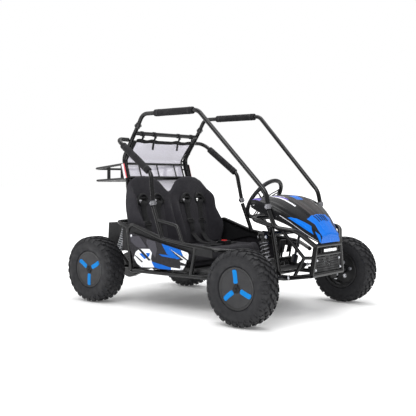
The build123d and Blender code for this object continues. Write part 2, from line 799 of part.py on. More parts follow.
for name, side in sides.items():
    with BuildPart() as a_arm:
        for x, tip in zip(arm_bushes_x, (586, 614)):
            bush = (x, side * arm_axis_y, arm_axis_z)
            rod(bush, flip((tip, 406, 214), side), 11)
            rod((x - 19, *bush[1:]), (x + 19, *bush[1:]), 13)
            rod((x - 20, *bush[1:]), (x + 20, *bush[1:]), 5 + running, mode=Mode.SUBTRACT)
        side_block((578, 300, 224), (652, 344, 229), side)
        for x in (tower_low[0] - 19, tower_low[0] + 15):
            side_block((x, 310, 226), (x + 4, 334, tower_low[2] + 11), side)
        low_pin = [flip((tower_low[0] + end * 22, *tower_low[1:]), side) for end in (-1, 1)]
        rod(*low_pin, shock_pin_r)
        side_block((580, 402, 162), (620, 410, 270), side)
        for z in (162, 258):
            side_block((584, 402, z), (616, kingpin_y, z + 12), side)
            rod(flip(knuckle_point(front_x, z), side), flip(knuckle_point(front_x, z + 12), side), 16)
        rod(flip(knuckle_point(front_x, 156), side), flip(knuckle_point(front_x, 276), side), kingpin_r)
    save(a_arm, f"a_arm_{name}")

    with BuildPart() as knuckle:
        rod(flip(knuckle_point(front_x, 174.5), side), flip(knuckle_point(front_x, 257.5), side), 15)
        rod(flip((front_x, kingpin_y + 8, wheel_r), side), flip((front_x, 566, wheel_r), side), 9)
        rod(flip((front_x, kingpin_y + 8, wheel_r), side), flip((front_x, 474, wheel_r), side), 16)
        block((front_x - steer_arm, side * kingpin_y - 9, 232), (front_x, side * kingpin_y + 9, 239))
        for low, high, radius in [(232, 239, 12), (239, 264, 4), (264, 269, 9)]:
            ends = [flip(knuckle_point(front_x - steer_arm, z), side) for z in (low, high)]
            rod(*ends, radius)
        rod(flip((front_x, 556.5, wheel_r), side), flip((front_x, 566, wheel_r), side), 13)
        rod(
            flip(knuckle_point(front_x, 170), side),
            flip(knuckle_point(front_x, 262), side),
            kingpin_r + running,
            mode=Mode.SUBTRACT,
        )
    save(knuckle, f"knuckle_{name}")

    with BuildPart() as tie_rod:
        inner = (rack_x, side * 226, rack_z)
        outer = (rack_x, side * kingpin_y, rack_z)
        rod((rack_x, side * 234, rack_z), (rack_x, side * (kingpin_y - 9), rack_z), 6.1)
        with Locations(inner):
            Sphere(11)
        ring(outer, (0, 0, 1), 12, 7.4, 12)
    save(tie_rod, f"tie_rod_{name}")
    shock_parts(f"front_shock_{name}", tower, tower_low, side, (1, 0, 0), front_spring_turns)


# ---- wheels ----
def rim_and_cap(x, y, half_w, phase, hub_bore, side, hub_in, hub_out):
    """Adds a rim with its hub, wheel cap and three cap inserts around the axle line of one wheel."""
    profile = Plane(origin=(x, y, wheel_r), x_dir=(0, side, 0), z_dir=(1, 0, 0))
    w = half_w
    with BuildSketch(profile, mode=Mode.PRIVATE) as barrel:
        with BuildLine():
            Polyline(
                (-w, rim_lip_r), (-w + 4, rim_lip_r), (-w + 6, rim_seat_r + 1), (-w + 22, rim_seat_r),
                (-w + 30, 92), (w - 30, 92), (w - 22, rim_seat_r), (w - 6, rim_seat_r + 1),
                (w - 4, rim_lip_r), (w, rim_lip_r), (w, rim_lip_r - 4), (w - 2, rim_seat_r - 3),
                (w - 24, rim_seat_r - 3.5), (w - 32, 88.5), (6, 88.5), (5, 24), (hub_out, 24),
                (hub_out, hub_bore), (hub_in, hub_bore), (hub_in, 24), (0, 24), (0, 88.5), (-w + 32, 88.5),
                (-w + 24, rim_seat_r - 3.5), (-w + 2, rim_seat_r - 3), (-w, rim_lip_r - 4), close=True
            )
        make_face()
    revolve(barrel.sketch, axis=Axis((x, y, wheel_r), (0, 1, 0)))
    centre = (x, y + side * (w - 9), wheel_r)
    face = Plane(origin=centre, x_dir=(1, 0, 0), z_dir=(0, side, 0))
    turn = phase if side < 0 else -phase
    with BuildSketch(face, mode=Mode.PRIVATE) as cap:
        Circle(rim_seat_r - 4)
        with PolarLocations(58, 3, start_angle=turn):
            Rectangle(64, 25, mode=Mode.SUBTRACT)
    extrude(cap.sketch, amount=4, dir=(0, side, 0))
    with BuildSketch(face, mode=Mode.PRIVATE) as inserts:
        with PolarLocations(58, 3, start_angle=turn):
            Rectangle(63.4, 24.4)
    extrude(inserts.sketch, amount=6, dir=(0, side, 0))


def tyre(x, y, half_w):
    """Adds a hollow tyre around a wheel's axle line."""
    across = Plane(origin=(x, y, wheel_r), x_dir=(0, 1, 0), z_dir=(1, 0, 0))
    with BuildSketch(across, mode=Mode.PRIVATE) as section:
        outer = [(half_w - 21.5, rim_seat_r + 1.6), (half_w - 19.5, rim_lip_r + 0.6), (half_w - 6, 116)]
        outer += [(half_w, 146), (half_w - 3, 172), (half_w - 12, 190), (30, wheel_r)]
        inner = [(26, wheel_r - 12), (half_w - 20, 181), (half_w - 12, 168), (half_w - 9, 146)]
        inner += [(half_w - 14, 122), (half_w - 34, rim_seat_r + 1.6)]
        section_points = outer + [(-u, r) for u, r in reversed(outer)]
        inner_points = [(-u, r) for u, r in inner] + list(reversed(inner))
        with BuildLine():
            Polyline(*section_points, close=True)
        make_face()
        with BuildLine():
            Polyline(*inner_points, close=True)
        make_face(mode=Mode.SUBTRACT)
    revolve(section.sketch, axis=Axis((x, y, wheel_r), (0, 1, 0)))


for name, side in sides.items():
    with BuildPart() as front_wheel:
        rim_and_cap(front_x, side * front_half_track, 52, cap_phase["front"], 9 + running, side, -40, 20)
    save(front_wheel, f"front_wheel_{name}")
    with BuildPart() as front_tyre:
        tyre(front_x, side * front_half_track, front_tyre_w / 2)
    save(front_tyre, f"front_tyre_{name}")

with BuildPart() as rear_wheels:
    for side in sides.values():
        rim_and_cap(rear_x, side * rear_half_track, 60, cap_phase["rear"], 12.6, side, -34, 34)
save(rear_wheels, "rear_wheels")

with BuildPart() as rear_tyres:
    for side in sides.values():
        tyre(rear_x, side * rear_half_track, rear_tyre_w / 2)
save(rear_tyres, "rear_tyres")

# ---- rear swing arm, live axle and drive ----
axle_r = 12.5
arm_tube_r = 13.0
bearing_y = 250.0
bearing_outer = 26.0
shock_low = (-500, 338, 300)
motor_x = -438.0
motor_z = 222.0
motor_r = 48.0
motor_shaft_r = 8.0
guard_y = -152.0
guard_t = 3.0
guard_rear_r = 82.0
guard_front_r = 34.0
pinion_y = -130.0
disc_y = 130.0
sprocket_r = 68.0
pinion_tip_r = 18.0
chain_t = 7.0

with BuildPart() as swing_arm:
    for side in sides.values():
        arm_line = [(-386, 172, floor_z), (-440, 176, floor_z), (-500, 250, 212), (-586, 250, 205)]
        tube([flip(p, side) for p in arm_line], radius=arm_tube_r, bends=[40, 60])
        rod((-385, side * 152.5, floor_z), (-385, side * 191.5, floor_z), 15)
        rod((rear_x, side * 241, wheel_r), (rear_x, side * 259, wheel_r), 34)
        rod(flip((-508, 246, 214), side), flip((-502, 318, 296), side), 9)
        for y in (324, 348):
            side_block((-512, y, 284), (-488, y + 4, 312), side)
        side_block((-512, 312, 280), (-488, 352, 285), side)
        rod((-500, side * 322, 300), (-500, side * 354, 300), 5)
    rod((-504, -246, 212), (-504, 246, 212), arm_tube_r)
    for side in sides.values():
        rod((-385, side * 150, floor_z), (-385, side * 194, floor_z), 6 + running, mode=Mode.SUBTRACT)
        rod((rear_x, side * 238, wheel_r), (rear_x, side * 262, wheel_r), bearing_outer, mode=Mode.SUBTRACT)
    block((-506, -52, 200), (-484, 52, 244))
    block((-548, 96, 214), (-504, 112, 250))
    rod((motor_x, -60, motor_z), (motor_x, 60, motor_z), motor_r + 0.2, mode=Mode.SUBTRACT)
    for side in sides.values():
        ring((rear_x, side * bearing_y, wheel_r), (0, 1, 0), bearing_outer - 0.1, axle_r + running, 16)
    guard_plane = Plane(origin=(0, guard_y, 0), x_dir=(1, 0, 0), z_dir=(0, -1, 0))
    for inset, depth, mode in [(0, 34, Mode.ADD), (guard_t, 34 - guard_t, Mode.SUBTRACT)]:
        with BuildSketch(guard_plane.offset(-34)):
            with Locations((rear_x, wheel_r)):
                Circle(guard_rear_r - inset)
            with Locations((motor_x, motor_z)):
                Circle(guard_front_r - inset)
            make_hull()
        extrude(amount=depth, mode=mode)
    rod((rear_x, guard_y - 1, wheel_r), (rear_x, guard_y + 10, wheel_r), axle_r + 4, mode=Mode.SUBTRACT)
    rod((-504, -246, 212), (-504, -100, 212), arm_tube_r)
save(swing_arm, "swing_arm")

with BuildPart() as drive_motor:
    rod((motor_x, -58, motor_z), (motor_x, 58, motor_z), motor_r - 3)
    for y in (-52, -36, -20, -4, 12, 28, 44):
        ring((motor_x, y, motor_z), (0, 1, 0), motor_r, motor_r - 4, 8)
    rod((motor_x, -76, motor_z), (motor_x, -40, motor_z), motor_shaft_r + 1, mode=Mode.SUBTRACT)
save(drive_motor, "drive_motor")

with BuildPart() as motor_pinion:
    rod((motor_x, -141, motor_z), (motor_x, -41, motor_z), motor_shaft_r)
    rod((motor_x, pinion_y - 3, motor_z), (motor_x, pinion_y + 3, motor_z), pinion_tip_r)
save(motor_pinion, "motor_pinion")

with BuildPart() as rear_axle:
    rod((rear_x, -482, wheel_r), (rear_x, 482, wheel_r), axle_r)
    for y in (pinion_y, disc_y):
        ring((rear_x, y - math.copysign(14, y), wheel_r), (0, 1, 0), 24, axle_r - 1, 21)
save(rear_axle, "rear_axle")

with BuildPart() as sprocket:
    ring((rear_x, pinion_y, wheel_r), (0, 1, 0), sprocket_r, axle_r + 0.1, 5)
    with BuildSketch(Plane(origin=(rear_x, pinion_y - 5, wheel_r), z_dir=(0, 1, 0))):
        with PolarLocations(44, 6):
            Circle(11)
    extrude(amount=10, mode=Mode.SUBTRACT)
save(sprocket, "sprocket")

with BuildPart() as brake_disc:
    ring((rear_x, disc_y, wheel_r), (0, 1, 0), 80, axle_r + 0.1, 4)
    with BuildSketch(Plane(origin=(rear_x, disc_y - 5, wheel_r), z_dir=(0, 1, 0))):
        with PolarLocations(38, 6):
            Circle(10)
        with PolarLocations(66, 18):
            Circle(3.5)
    extrude(amount=10, mode=Mode.SUBTRACT)
save(brake_disc, "brake_disc")

with BuildPart() as brake_caliper:
    block((-566, 112, 236), (-512, 150, 292))
    fillet(edges().filter_by(Axis.Y), radius=7)
    rod((rear_x, disc_y - 4.5, wheel_r), (rear_x, disc_y + 4.5, wheel_r), 84, mode=Mode.SUBTRACT)
save(brake_caliper, "brake_caliper")

with BuildPart() as drive_chain:
    side_plane = Plane(origin=(0, pinion_y - 4, 0), x_dir=(1, 0, 0), z_dir=(0, -1, 0))
    with BuildSketch(side_plane) as loop:
        for grow, mode in [(gap + chain_t, Mode.ADD), (gap, Mode.SUBTRACT)]:
            with BuildSketch(side_plane, mode=Mode.PRIVATE) as belt:
                with Locations((rear_x, wheel_r)):
                    Circle(sprocket_r + grow)
                with Locations((motor_x, motor_z)):
                    Circle(pinion_tip_r + grow)
                make_hull()
            add(belt.sketch, mode=mode)
    extrude(amount=-8)
save(drive_chain, "drive_chain")

shock_parts("rear_shock", shock_top, shock_low, 0, (0, 1, 0), rear_spring_turns)

# ---- clamp collars and bolts of the cage ----
with BuildPart() as cage_clamps:
    for side in sides.values():
        for path, end, other in [(roof_bar_path, -1, -2), (roof_bar_path, 0, 1), (side_bar_path, -1, -2)]:
            place = along(path[end], path[other], 16)
            axis = Vector(*path[other]) - Vector(*path[end])
            ring(flip(place, side), flip(tuple(axis), side), 17, tube_r + gap / 2, 26)
            x, y, z = place
            hex_head(flip((x, y + 15.5, z), side), (0, side, 0), across=15, height=8)
            hex_head(flip((x, y - 15.5, z), side), (0, -side, 0), across=15, height=8)
save(cage_clamps, "cage_clamps")
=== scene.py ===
import math

import bmesh
import bpy
from mathutils import Matrix, Vector


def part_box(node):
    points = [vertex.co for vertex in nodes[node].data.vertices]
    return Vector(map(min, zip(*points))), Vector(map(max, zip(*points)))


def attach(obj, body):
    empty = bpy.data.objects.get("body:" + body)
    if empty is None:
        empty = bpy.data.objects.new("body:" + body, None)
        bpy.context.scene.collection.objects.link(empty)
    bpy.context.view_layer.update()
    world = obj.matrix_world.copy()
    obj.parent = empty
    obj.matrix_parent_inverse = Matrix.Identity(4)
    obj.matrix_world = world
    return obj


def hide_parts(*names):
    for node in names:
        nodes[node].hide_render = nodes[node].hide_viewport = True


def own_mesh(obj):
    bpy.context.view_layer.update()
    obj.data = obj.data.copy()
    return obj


# Looks for a two-seat off-road kart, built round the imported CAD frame. Metres, +X forward, +Y left.

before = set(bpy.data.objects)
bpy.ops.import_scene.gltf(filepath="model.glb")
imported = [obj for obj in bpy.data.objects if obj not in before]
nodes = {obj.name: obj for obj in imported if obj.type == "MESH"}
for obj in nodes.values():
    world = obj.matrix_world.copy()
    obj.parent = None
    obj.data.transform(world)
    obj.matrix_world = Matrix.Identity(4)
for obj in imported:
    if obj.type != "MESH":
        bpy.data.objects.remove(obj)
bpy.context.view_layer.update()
chassis = "chassis"
sides = {"left": 1, "right": -1}
mm = 0.001


# ---- materials ----
def add_node(tree, kind, inputs=None, **settings):
    """Adds a shader node, sets its settings, and sets or links its inputs."""
    made = tree.nodes.new(kind)
    for key, value in settings.items():
        setattr(made, key, value)
    for key, value in (inputs or {}).items():
        if isinstance(value, bpy.types.NodeSocket):
            tree.links.new(value, made.inputs[key])
        else:
            made.inputs[key].default_value = value
    return made


def rgba(colour):
    """A colour with full alpha."""
    return (*colour, 1.0)


def start_material(name, rough, metal=0.0, coat=0.0, sheen=0.0, spec=0.5):
    """A new principled material: returns it, its tree, its shader and its object coordinates."""
    mat = bpy.data.materials.new(name)
    mat.use_nodes = True
    tree = mat.node_tree
    shader = tree.nodes["Principled BSDF"]
    shader.inputs["Roughness"].default_value = rough
    shader.inputs["Metallic"].default_value = metal
    shader.inputs["Coat Weight"].default_value = coat
    shader.inputs["Coat Roughness"].default_value = 0.06
    shader.inputs["Sheen Weight"].default_value = sheen
    shader.inputs["Specular IOR Level"].default_value = spec
    where = add_node(tree, "ShaderNodeTexCoord").outputs["Object"]
    return mat, tree, shader, where


def noise(tree, where, scale, detail=4.0, stretch=None):
    """A noise value at a scale, in waves per metre, stretched along one axis if asked."""
    if stretch:
        where = add_node(tree, "ShaderNodeMapping", {"Vector": where, "Scale": stretch}).outputs[0]
    inputs = {"Vector": where, "Scale": scale, "Detail": detail}
    return add_node(tree, "ShaderNodeTexNoise", inputs).outputs[0]


def reckon(tree, operation, *values):
    """The result of a maths node."""
    return add_node(tree, "ShaderNodeMath", dict(enumerate(values)), operation=operation).outputs[0]


def rescale(tree, value, low, high, to_low=0.0, to_high=1.0, **settings):
    """A value carried from one range to another."""
    inputs = {"Value": value, "From Min": low, "From Max": high, "To Min": to_low, "To Max": to_high}
    return add_node(tree, "ShaderNodeMapRange", inputs, **settings).outputs[0]


def mix_colours(tree, factor, first, second):
    """The first colour at factor 0, the second at 1."""
    inputs = {"Factor": factor, "A": first, "B": second}
    return add_node(tree, "ShaderNodeMix", inputs, data_type="RGBA").outputs["Result"]


def threads(tree, where, pitch, across, distortion=0.0):
    """Two sets of threads, pitch metres apart, that cross along two axes."""
    inputs = {"Vector": where, "Scale": math.tau / (20 * pitch), "Distortion": distortion}
    return [add_node(tree, "ShaderNodeTexWave", inputs, bands_direction=axis).outputs["Fac"] for axis in across]


def vary_colour(tree, where, colour, amount, scale):
    """A colour that drifts lighter and darker over the surface."""
    dark = rgba([c * (1 - amount) for c in colour])
    light = rgba([min(1.0, c * (1 + amount)) for c in colour])
    return mix_colours(tree, noise(tree, where, scale), dark, light)


def vary_rough(tree, shader, where, rough, scale=30.0, amount=0.3):
    """Roughness that wanders round its mean, as handling and dust leave it."""
    spread = rescale(tree, noise(tree, where, scale), 0.3, 0.7, rough * (1 - amount), rough * (1 + amount))
    tree.links.new(spread, shader.inputs["Roughness"])


def raise_bump(tree, shader, height, depth, strength=1.0):
    """Bumps the surface by a height value."""
    bump = add_node(tree, "ShaderNodeBump", {"Height": height, "Distance": depth, "Strength": strength})
    tree.links.new(bump.outputs[0], shader.inputs["Normal"])


def grained(name, colour, rough, grain=400.0, depth=0.0002, vary=0.12, metal=0.0, coat=0.0, sheen=0.0,
            spec=0.5, drift=9.0, stretch=None):
    """Paint, plastic, rubber or metal with a fine grain, colour drift and uneven gloss."""
    mat, tree, shader, where = start_material(name, rough, metal, coat, sheen, spec)
    tree.links.new(vary_colour(tree, where, colour, vary, drift), shader.inputs["Base Color"])
    vary_rough(tree, shader, where, rough)
    raise_bump(tree, shader, noise(tree, where, grain, 3.0, stretch), depth)
    return mat


def woven(name, colour, rough, pitch, depth, across="YZ", vary=0.15, sheen=0.3):
    """Cloth whose threads cross along two axes, pitch metres apart."""
    mat, tree, shader, where = start_material(name, rough, sheen=sheen, spec=0.25)
    weave = reckon(tree, "MULTIPLY", *threads(tree, where, pitch, across, distortion=0.4))
    cloth = vary_colour(tree, where, colour, vary, 14.0)
    shaded = mix_colours(tree, weave, cloth, rgba([min(1.0, c * 1.5) for c in colour]))
    tree.links.new(shaded, shader.inputs["Base Color"])
    vary_rough(tree, shader, where, rough, amount=0.12)
    raise_bump(tree, shader, weave, depth)
    return mat


black_paint = grained("frame_black", (0.004, 0.004, 0.0045), 0.18, grain=55.0, depth=0.00012, coat=0.08,
                      spec=0.34)
satin_black = grained("satin_black", (0.011, 0.011, 0.012), 0.42, grain=700.0, depth=0.0001)
zinc = grained("zinc_plate", (0.6, 0.61, 0.64), 0.26, metal=1.0, grain=180.0, depth=0.00006, vary=0.18)
chrome = grained("chrome_rod", (0.8, 0.8, 0.82), 0.1, metal=1.0, grain=60.0, depth=0.00002, vary=0.05)
brushed = grained("brushed_steel", (0.4, 0.4, 0.42), 0.3, metal=1.0, grain=160.0, depth=0.00008,
                  stretch=(1, 9, 1))
dark_steel = grained("dark_steel", (0.1, 0.1, 0.105), 0.42, metal=1.0, grain=160.0, depth=0.00008)
cast = grained("cast_aluminium", (0.3, 0.31, 0.33), 0.42, metal=1.0, grain=520.0, depth=0.0003)
foam = grained("pad_foam", (0.014, 0.0135, 0.015), 0.86, grain=850.0, depth=0.0005, sheen=0.04, spec=0.2)
rubber = grained("tyre_rubber", (0.012, 0.012, 0.014), 0.62, grain=330.0, depth=0.0004, vary=0.2, spec=0.36)
moulded = grained("moulded_black", (0.008, 0.008, 0.009), 0.5, grain=950.0, depth=0.0003, spec=0.3)
cap_grey = grained("cap_grey", (0.022, 0.022, 0.024), 0.5, grain=900.0, depth=0.0002, spec=0.4)
spoke_blue = grained("spoke_blue", (0.0, 0.19, 0.56), 0.4, grain=900.0, depth=0.0001, spec=0.15)
spring_silver = grained("spring_silver", (0.5, 0.51, 0.54), 0.28, grain=300.0, depth=0.00008, metal=0.85)
# painted shade: a darker copy of the silver spring finish, for the front springs in the shade under the cowl
spring_silver_shaded = grained("spring_silver_shaded", (0.2, 0.2, 0.215), 0.3, grain=300.0, depth=0.00008, metal=0.9)
button_red = grained("button_red", (0.75, 0.03, 0.03), 0.3, grain=700.0, depth=0.0001, coat=0.3)
seat_cloth = woven("seat_cloth", (0.019, 0.018, 0.022), 0.88, 0.0024, 0.0004, sheen=0.05)
strap_cloth = woven("strap_cloth", (0.008, 0.008, 0.009), 0.7, 0.0018, 0.0004, across="YX", sheen=0.03)
graphic_white = grained("graphic_white", (0.8, 0.81, 0.84), 0.24, grain=80.0, depth=0.00003, vary=0.03,
                        coat=0.4)
graphic_blue = grained("graphic_blue", (0.0, 0.11, 0.5), 0.3, grain=80.0, depth=0.00003, spec=0.12)
graphic_grey = grained("graphic_grey", (0.055, 0.053, 0.064), 0.3, grain=80.0, depth=0.00003, spec=0.15)
panel_graphite = grained("panel_graphite", (0.02, 0.019, 0.022), 0.3, grain=80.0, depth=0.00003, spec=0.12)


# ---- mesh helpers ----
def piece(name, verts, faces, mats, body, node=None, kind=None, indices=None, bevel=0.0, subdiv=0,
          flat=False):
    """A mesh piece on a body. It stands for a CAD node if one is named. kind is not used."""
    mesh = bpy.data.meshes.new(name)
    mesh.from_pydata([tuple(v) for v in verts], [], faces)
    mats = mats if isinstance(mats, (list, tuple)) else [mats]
    for mat in mats:
        mesh.materials.append(mat)
    if indices:
        for polygon, index in zip(mesh.polygons, indices):
            polygon.material_index = index
    clean = bmesh.new()
    clean.from_mesh(mesh)
    bmesh.ops.remove_doubles(clean, verts=clean.verts, dist=1e-6)
    bmesh.ops.recalc_face_normals(clean, faces=clean.faces)
    clean.to_mesh(mesh)
    clean.free()
    mesh.polygons.foreach_set("use_smooth", [not flat] * len(mesh.polygons))
    made = bpy.data.objects.new(name, mesh)
    bpy.context.collection.objects.link(made)
    if bevel:
        rounding = made.modifiers.new("bevel", "BEVEL")
        rounding.width = bevel
        rounding.segments = 2
        rounding.limit_method = "ANGLE"
        rounding.harden_normals = True
    if subdiv:
        smoothing = made.modifiers.new("subdivision", "SUBSURF")
        smoothing.levels = subdiv
        smoothing.render_levels = subdiv
    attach(made, body)
    if node:
        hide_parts(*([node] if isinstance(node, str) else node))
    return made


def join_parts(parts):
    """Several (verts, faces) lists as one."""
    verts, faces = [], []
    for more_verts, more_faces in parts:
        start = len(verts)
        verts.extend(more_verts)
        faces.extend([[start + i for i in face] for face in more_faces])
    return verts, faces


def loft(loops, closed=False):
    """Loops of as many points each, joined in turn: capped at both ends, or closed into a ring."""
    rows, count = len(loops[0]), len(loops)
    faces = []
    for i in range(count if closed else count - 1):
        here, there = i * rows, (i + 1) % count * rows
        for row in range(rows):
            after = (row + 1) % rows
            faces.append([here + row, there + row, there + after, here + after])
    if not closed:
        faces.append(list(range(rows)))
        faces.append([(count - 1) * rows + row for row in reversed(range(rows))])
    return [point for loop in loops for point in loop], faces


def shell(front, back, step, holes=()):
    """Two grids of points, step points to a column, joined round their rim. holes are left open."""
    total, columns = len(front), len(front) // step
    faces = []
    for i in range(columns - 1):
        for j in range(step - 1):
            cell = [i * step + j, (i + 1) * step + j, (i + 1) * step + j + 1, i * step + j + 1]
            if not any(corner in holes for corner in cell):
                faces += [cell, [corner + total for corner in reversed(cell)]]
    rim = [i * step for i in range(columns)] + [(columns - 1) * step + j for j in range(1, step)]
    rim += [i * step + step - 1 for i in range(columns - 2, -1, -1)] + list(range(step - 2, 0, -1))
    faces += [[a, b, b + total, a + total] for a, b in zip(rim, rim[1:] + rim[:1])]
    return front + back, faces


def trim(name, parts, mat, body=chassis, kind="dark_plastic", **more):
    """Several small parts as one piece."""
    return piece(name, *join_parts(parts), mat, body, kind=kind, **more)


def axes_of(direction, hint=(0, 0, 1)):
    """Two unit vectors across a direction."""
    ahead = Vector(direction).normalized()
    if abs(ahead.dot(Vector(hint))) > 0.95:
        hint = (1, 0, 0)
    first = Vector(hint).cross(ahead).normalized()
    return first, ahead.cross(first), ahead


def lathe(profile, centre, axis=(0, 1, 0), count=96):
    """A turned shape: profile is (distance along the axis, radius) in millimetres."""
    first, second, ahead = axes_of(axis)
    loops = []
    for turn in range(count):
        out = first * math.cos(math.tau * turn / count) + second * math.sin(math.tau * turn / count)
        loops.append([Vector(centre) + ahead * (u * mm) + out * (r * mm) for u, r in profile])
    return loft(loops, closed=True)


def spline(before, a, b, after, t):
    """The value at t on a smooth curve from a (0) to b (1), given the values on either side."""
    return 0.5 * (2 * a + (b - before) * t + (2 * before - 5 * a + 4 * b - after) * t**2
                  + (3 * a - before - 3 * b + after) * t**3)


def smooth_line(points, steps):
    """Points on a smooth curve through the given ones."""
    points = [Vector(p) for p in points]
    last = len(points) - 1
    line = []
    for i in range(last):
        near = [points[min(max(k, 0), last)] for k in (i - 1, i, i + 1, i + 2)]
        line += [spline(*near, step / steps) for step in range(steps)]
    return line + [points[-1]]


def sweep(line, section, across=None, closed=False):
    """A section of (sideways, up) offsets carried along a line. across sets its sideways direction."""
    loops, last = [], len(line) - 1
    for i, point in enumerate(line):
        ahead = (line[(i + 1) % len(line)] - point) if closed or i < last else point - line[i - 1]
        if not closed and 0 < i < last:
            ahead = line[i + 1] - line[i - 1]
        side = Vector(across) if across else axes_of(ahead)[0]
        up = ahead.normalized().cross(side).normalized()
        side = up.cross(ahead.normalized())
        loops.append([point + side * a + up * b for a, b in section])
    return loft(loops, closed)


def round_section(radius, count=12):
    """A circle as a section for sweep."""
    return [(radius * math.cos(math.tau * i / count), radius * math.sin(math.tau * i / count))
            for i in range(count)]


def flat_section(half_width, half_height):
    """A rectangle as a section for sweep."""
    return [(-half_width, -half_height), (half_width, -half_height), (half_width, half_height),
            (-half_width, half_height)]


def strap_section(width, thick):
    """A flat strap with soft selvedges, as a section for sweep."""
    half, inner, top = width / 2, width / 2 - thick, thick / 2
    return [(-half, 0), (-inner, -top), (inner, -top), (half, 0), (inner, top), (-inner, top)]


def hex_bolt(centre, axis, across=13.0, height=6.0):
    """A washer and a domed hexagon head standing on a point, sizes in millimetres."""
    washer = lathe([(0, 0.1), (0, across * 0.8), (1.6, across * 0.8), (1.6, 0.1)], centre, axis, 24)
    first, second, ahead = axes_of(axis)
    loops = []
    for u, r in [(1.6, 0.577), (height * 0.82, 0.577), (height, 0.47)]:
        loops.append([Vector(centre) + ahead * (u * mm) + (first * a + second * b) * (across * mm)
                      for a, b in round_section(r, 6)])
    return join_parts([washer, loft(loops)])


def between(table, x):
    """The value of a table of (x, value) at x, straight between its rows."""
    if x <= table[0][0]:
        return table[0][1]
    for (x0, v0), (x1, v1) in zip(table, table[1:]):
        if x <= x1:
            return v0 + (v1 - v0) * (x - x0) / (x1 - x0) if x1 > x0 else v1
    return table[-1][1]


def ease(t):
    """A smooth step from 0 to 1."""
    t = min(1.0, max(0.0, t))
    return t * t * (3 - 2 * t)


def bump_at(x, centre, half):
    """A smooth hump of height 1."""
    return 0.5 + 0.5 * math.cos(math.pi * min(1.0, abs(x - centre) / half))


def flip(point, side):
    """The point on the given side: 1 is left, -1 is right."""
    return Vector((point[0], side * point[1], point[2]))


# ---- tyres ----
def tyre_casing(half):
    """The carcass outline, from one bead over the crown to the other and back inside, in millimetres."""
    inset = [(21.5, 103), (19, 112), (9, 117), (2, 134), (0, 148), (1.5, 163), (5, 175), (10, 185), (22, 191),
             (42, 193.5), (half, 194)]
    outer = [(half - u, r) for u, r in inset] + [(u - half, r) for u, r in reversed(inset[:-1])]
    inner = [(-(half - 36), 103), (-(half - 16), 128), (-(half - 12), 160), (0, 184)]
    return outer + inner + [(-u, r) for u, r in reversed(inner[:-1])]


def tread_block(centre, u0, u1, angle, length, skew, low, high):
    """One lug between two places across the tyre. low and high are its radii at each edge."""
    loops = []
    for radii, shrink in ((low, 1.0), (high, 0.82)):
        corners = ((u0, radii[0], -skew, -1), (u0, radii[0], -skew, 1), (u1, radii[1], skew, 1),
                   (u1, radii[1], skew, -1))
        loops.append([])
        for u, r, shift, end in corners:
            turn = angle + (shift + end * length / 2 * shrink) / 200.0
            loops[-1].append(Vector(centre) + Vector((r * math.sin(turn), u, r * math.cos(turn))) * mm)
    return loft(loops)


def add_tyre(name, centre, half, body, node, pitches=26):
    """A knobby off-road tyre: smooth sidewalls with a rim protector, paired centre lugs, shoulder lugs."""
    parts = [lathe(tyre_casing(half), centre, count=120)]
    for side in (-1, 1):
        guard = ((14, 119), (7, 122), (5.5, 127), (10, 127))
        parts.append(lathe([(side * (half - u), r) for u, r in guard], centre, count=120))
    half_pitch = math.pi / pitches
    lugs = (
        (2.5, half - 44, 0, 27, 8, (191, 191), (203, 202.5)),
        (half - 39, half - 20, 0.9, 22, 3, (190, 186), (202, 198.5)),
        (half - 17, half - 1, 0, 30, 2, (184, 170), (197.5, 181)),
        (half - 6, half - 0.6, 1, 15, 0, (176, 160), (183, 170)),
    )
    for i in range(pitches):
        for side in (-1, 1):
            turn = math.tau * i / pitches + (half_pitch if side > 0 else 0)
            for near, far, shift, length, skew, low, high in lugs:
                parts.append(tread_block(centre, side * near, side * far, turn + half_pitch * shift, length,
                                         side * skew, low, high))
    trim(name, parts, rubber, body, "tyre", node=node, bevel=0.0012)


# ---- wheels: barrel, hub, cap with three blue bars ----
def cap_bar(centre, side, face, angle):
    """One blue bar of the cap: long, nearly straight, with rounded corners and edges."""
    start, length, half_width, steps = 27.0, 71.0, 13.5, 12
    section = ((-1, -5), (-1, 0.2), (-0.82, 1.8), (0.82, 1.8), (1, 0.2), (1, -5))
    sideways = Vector((-math.sin(angle), 0, math.cos(angle)))
    loops = []
    for i in range(steps + 1):
        t = i / steps
        bend = angle + 0.12 * (t - 0.5) ** 2
        out = Vector((math.cos(bend), 0, math.sin(bend))) * (start + length * t)
        half = half_width - 4.5 * (1 - ease(min(t, 1 - t) * length / 5.0))
        loops.append([centre + (out + sideways * across * half + Vector((0, side * (face + up), 0))) * mm
                      for across, up in section])
    return loft(loops)


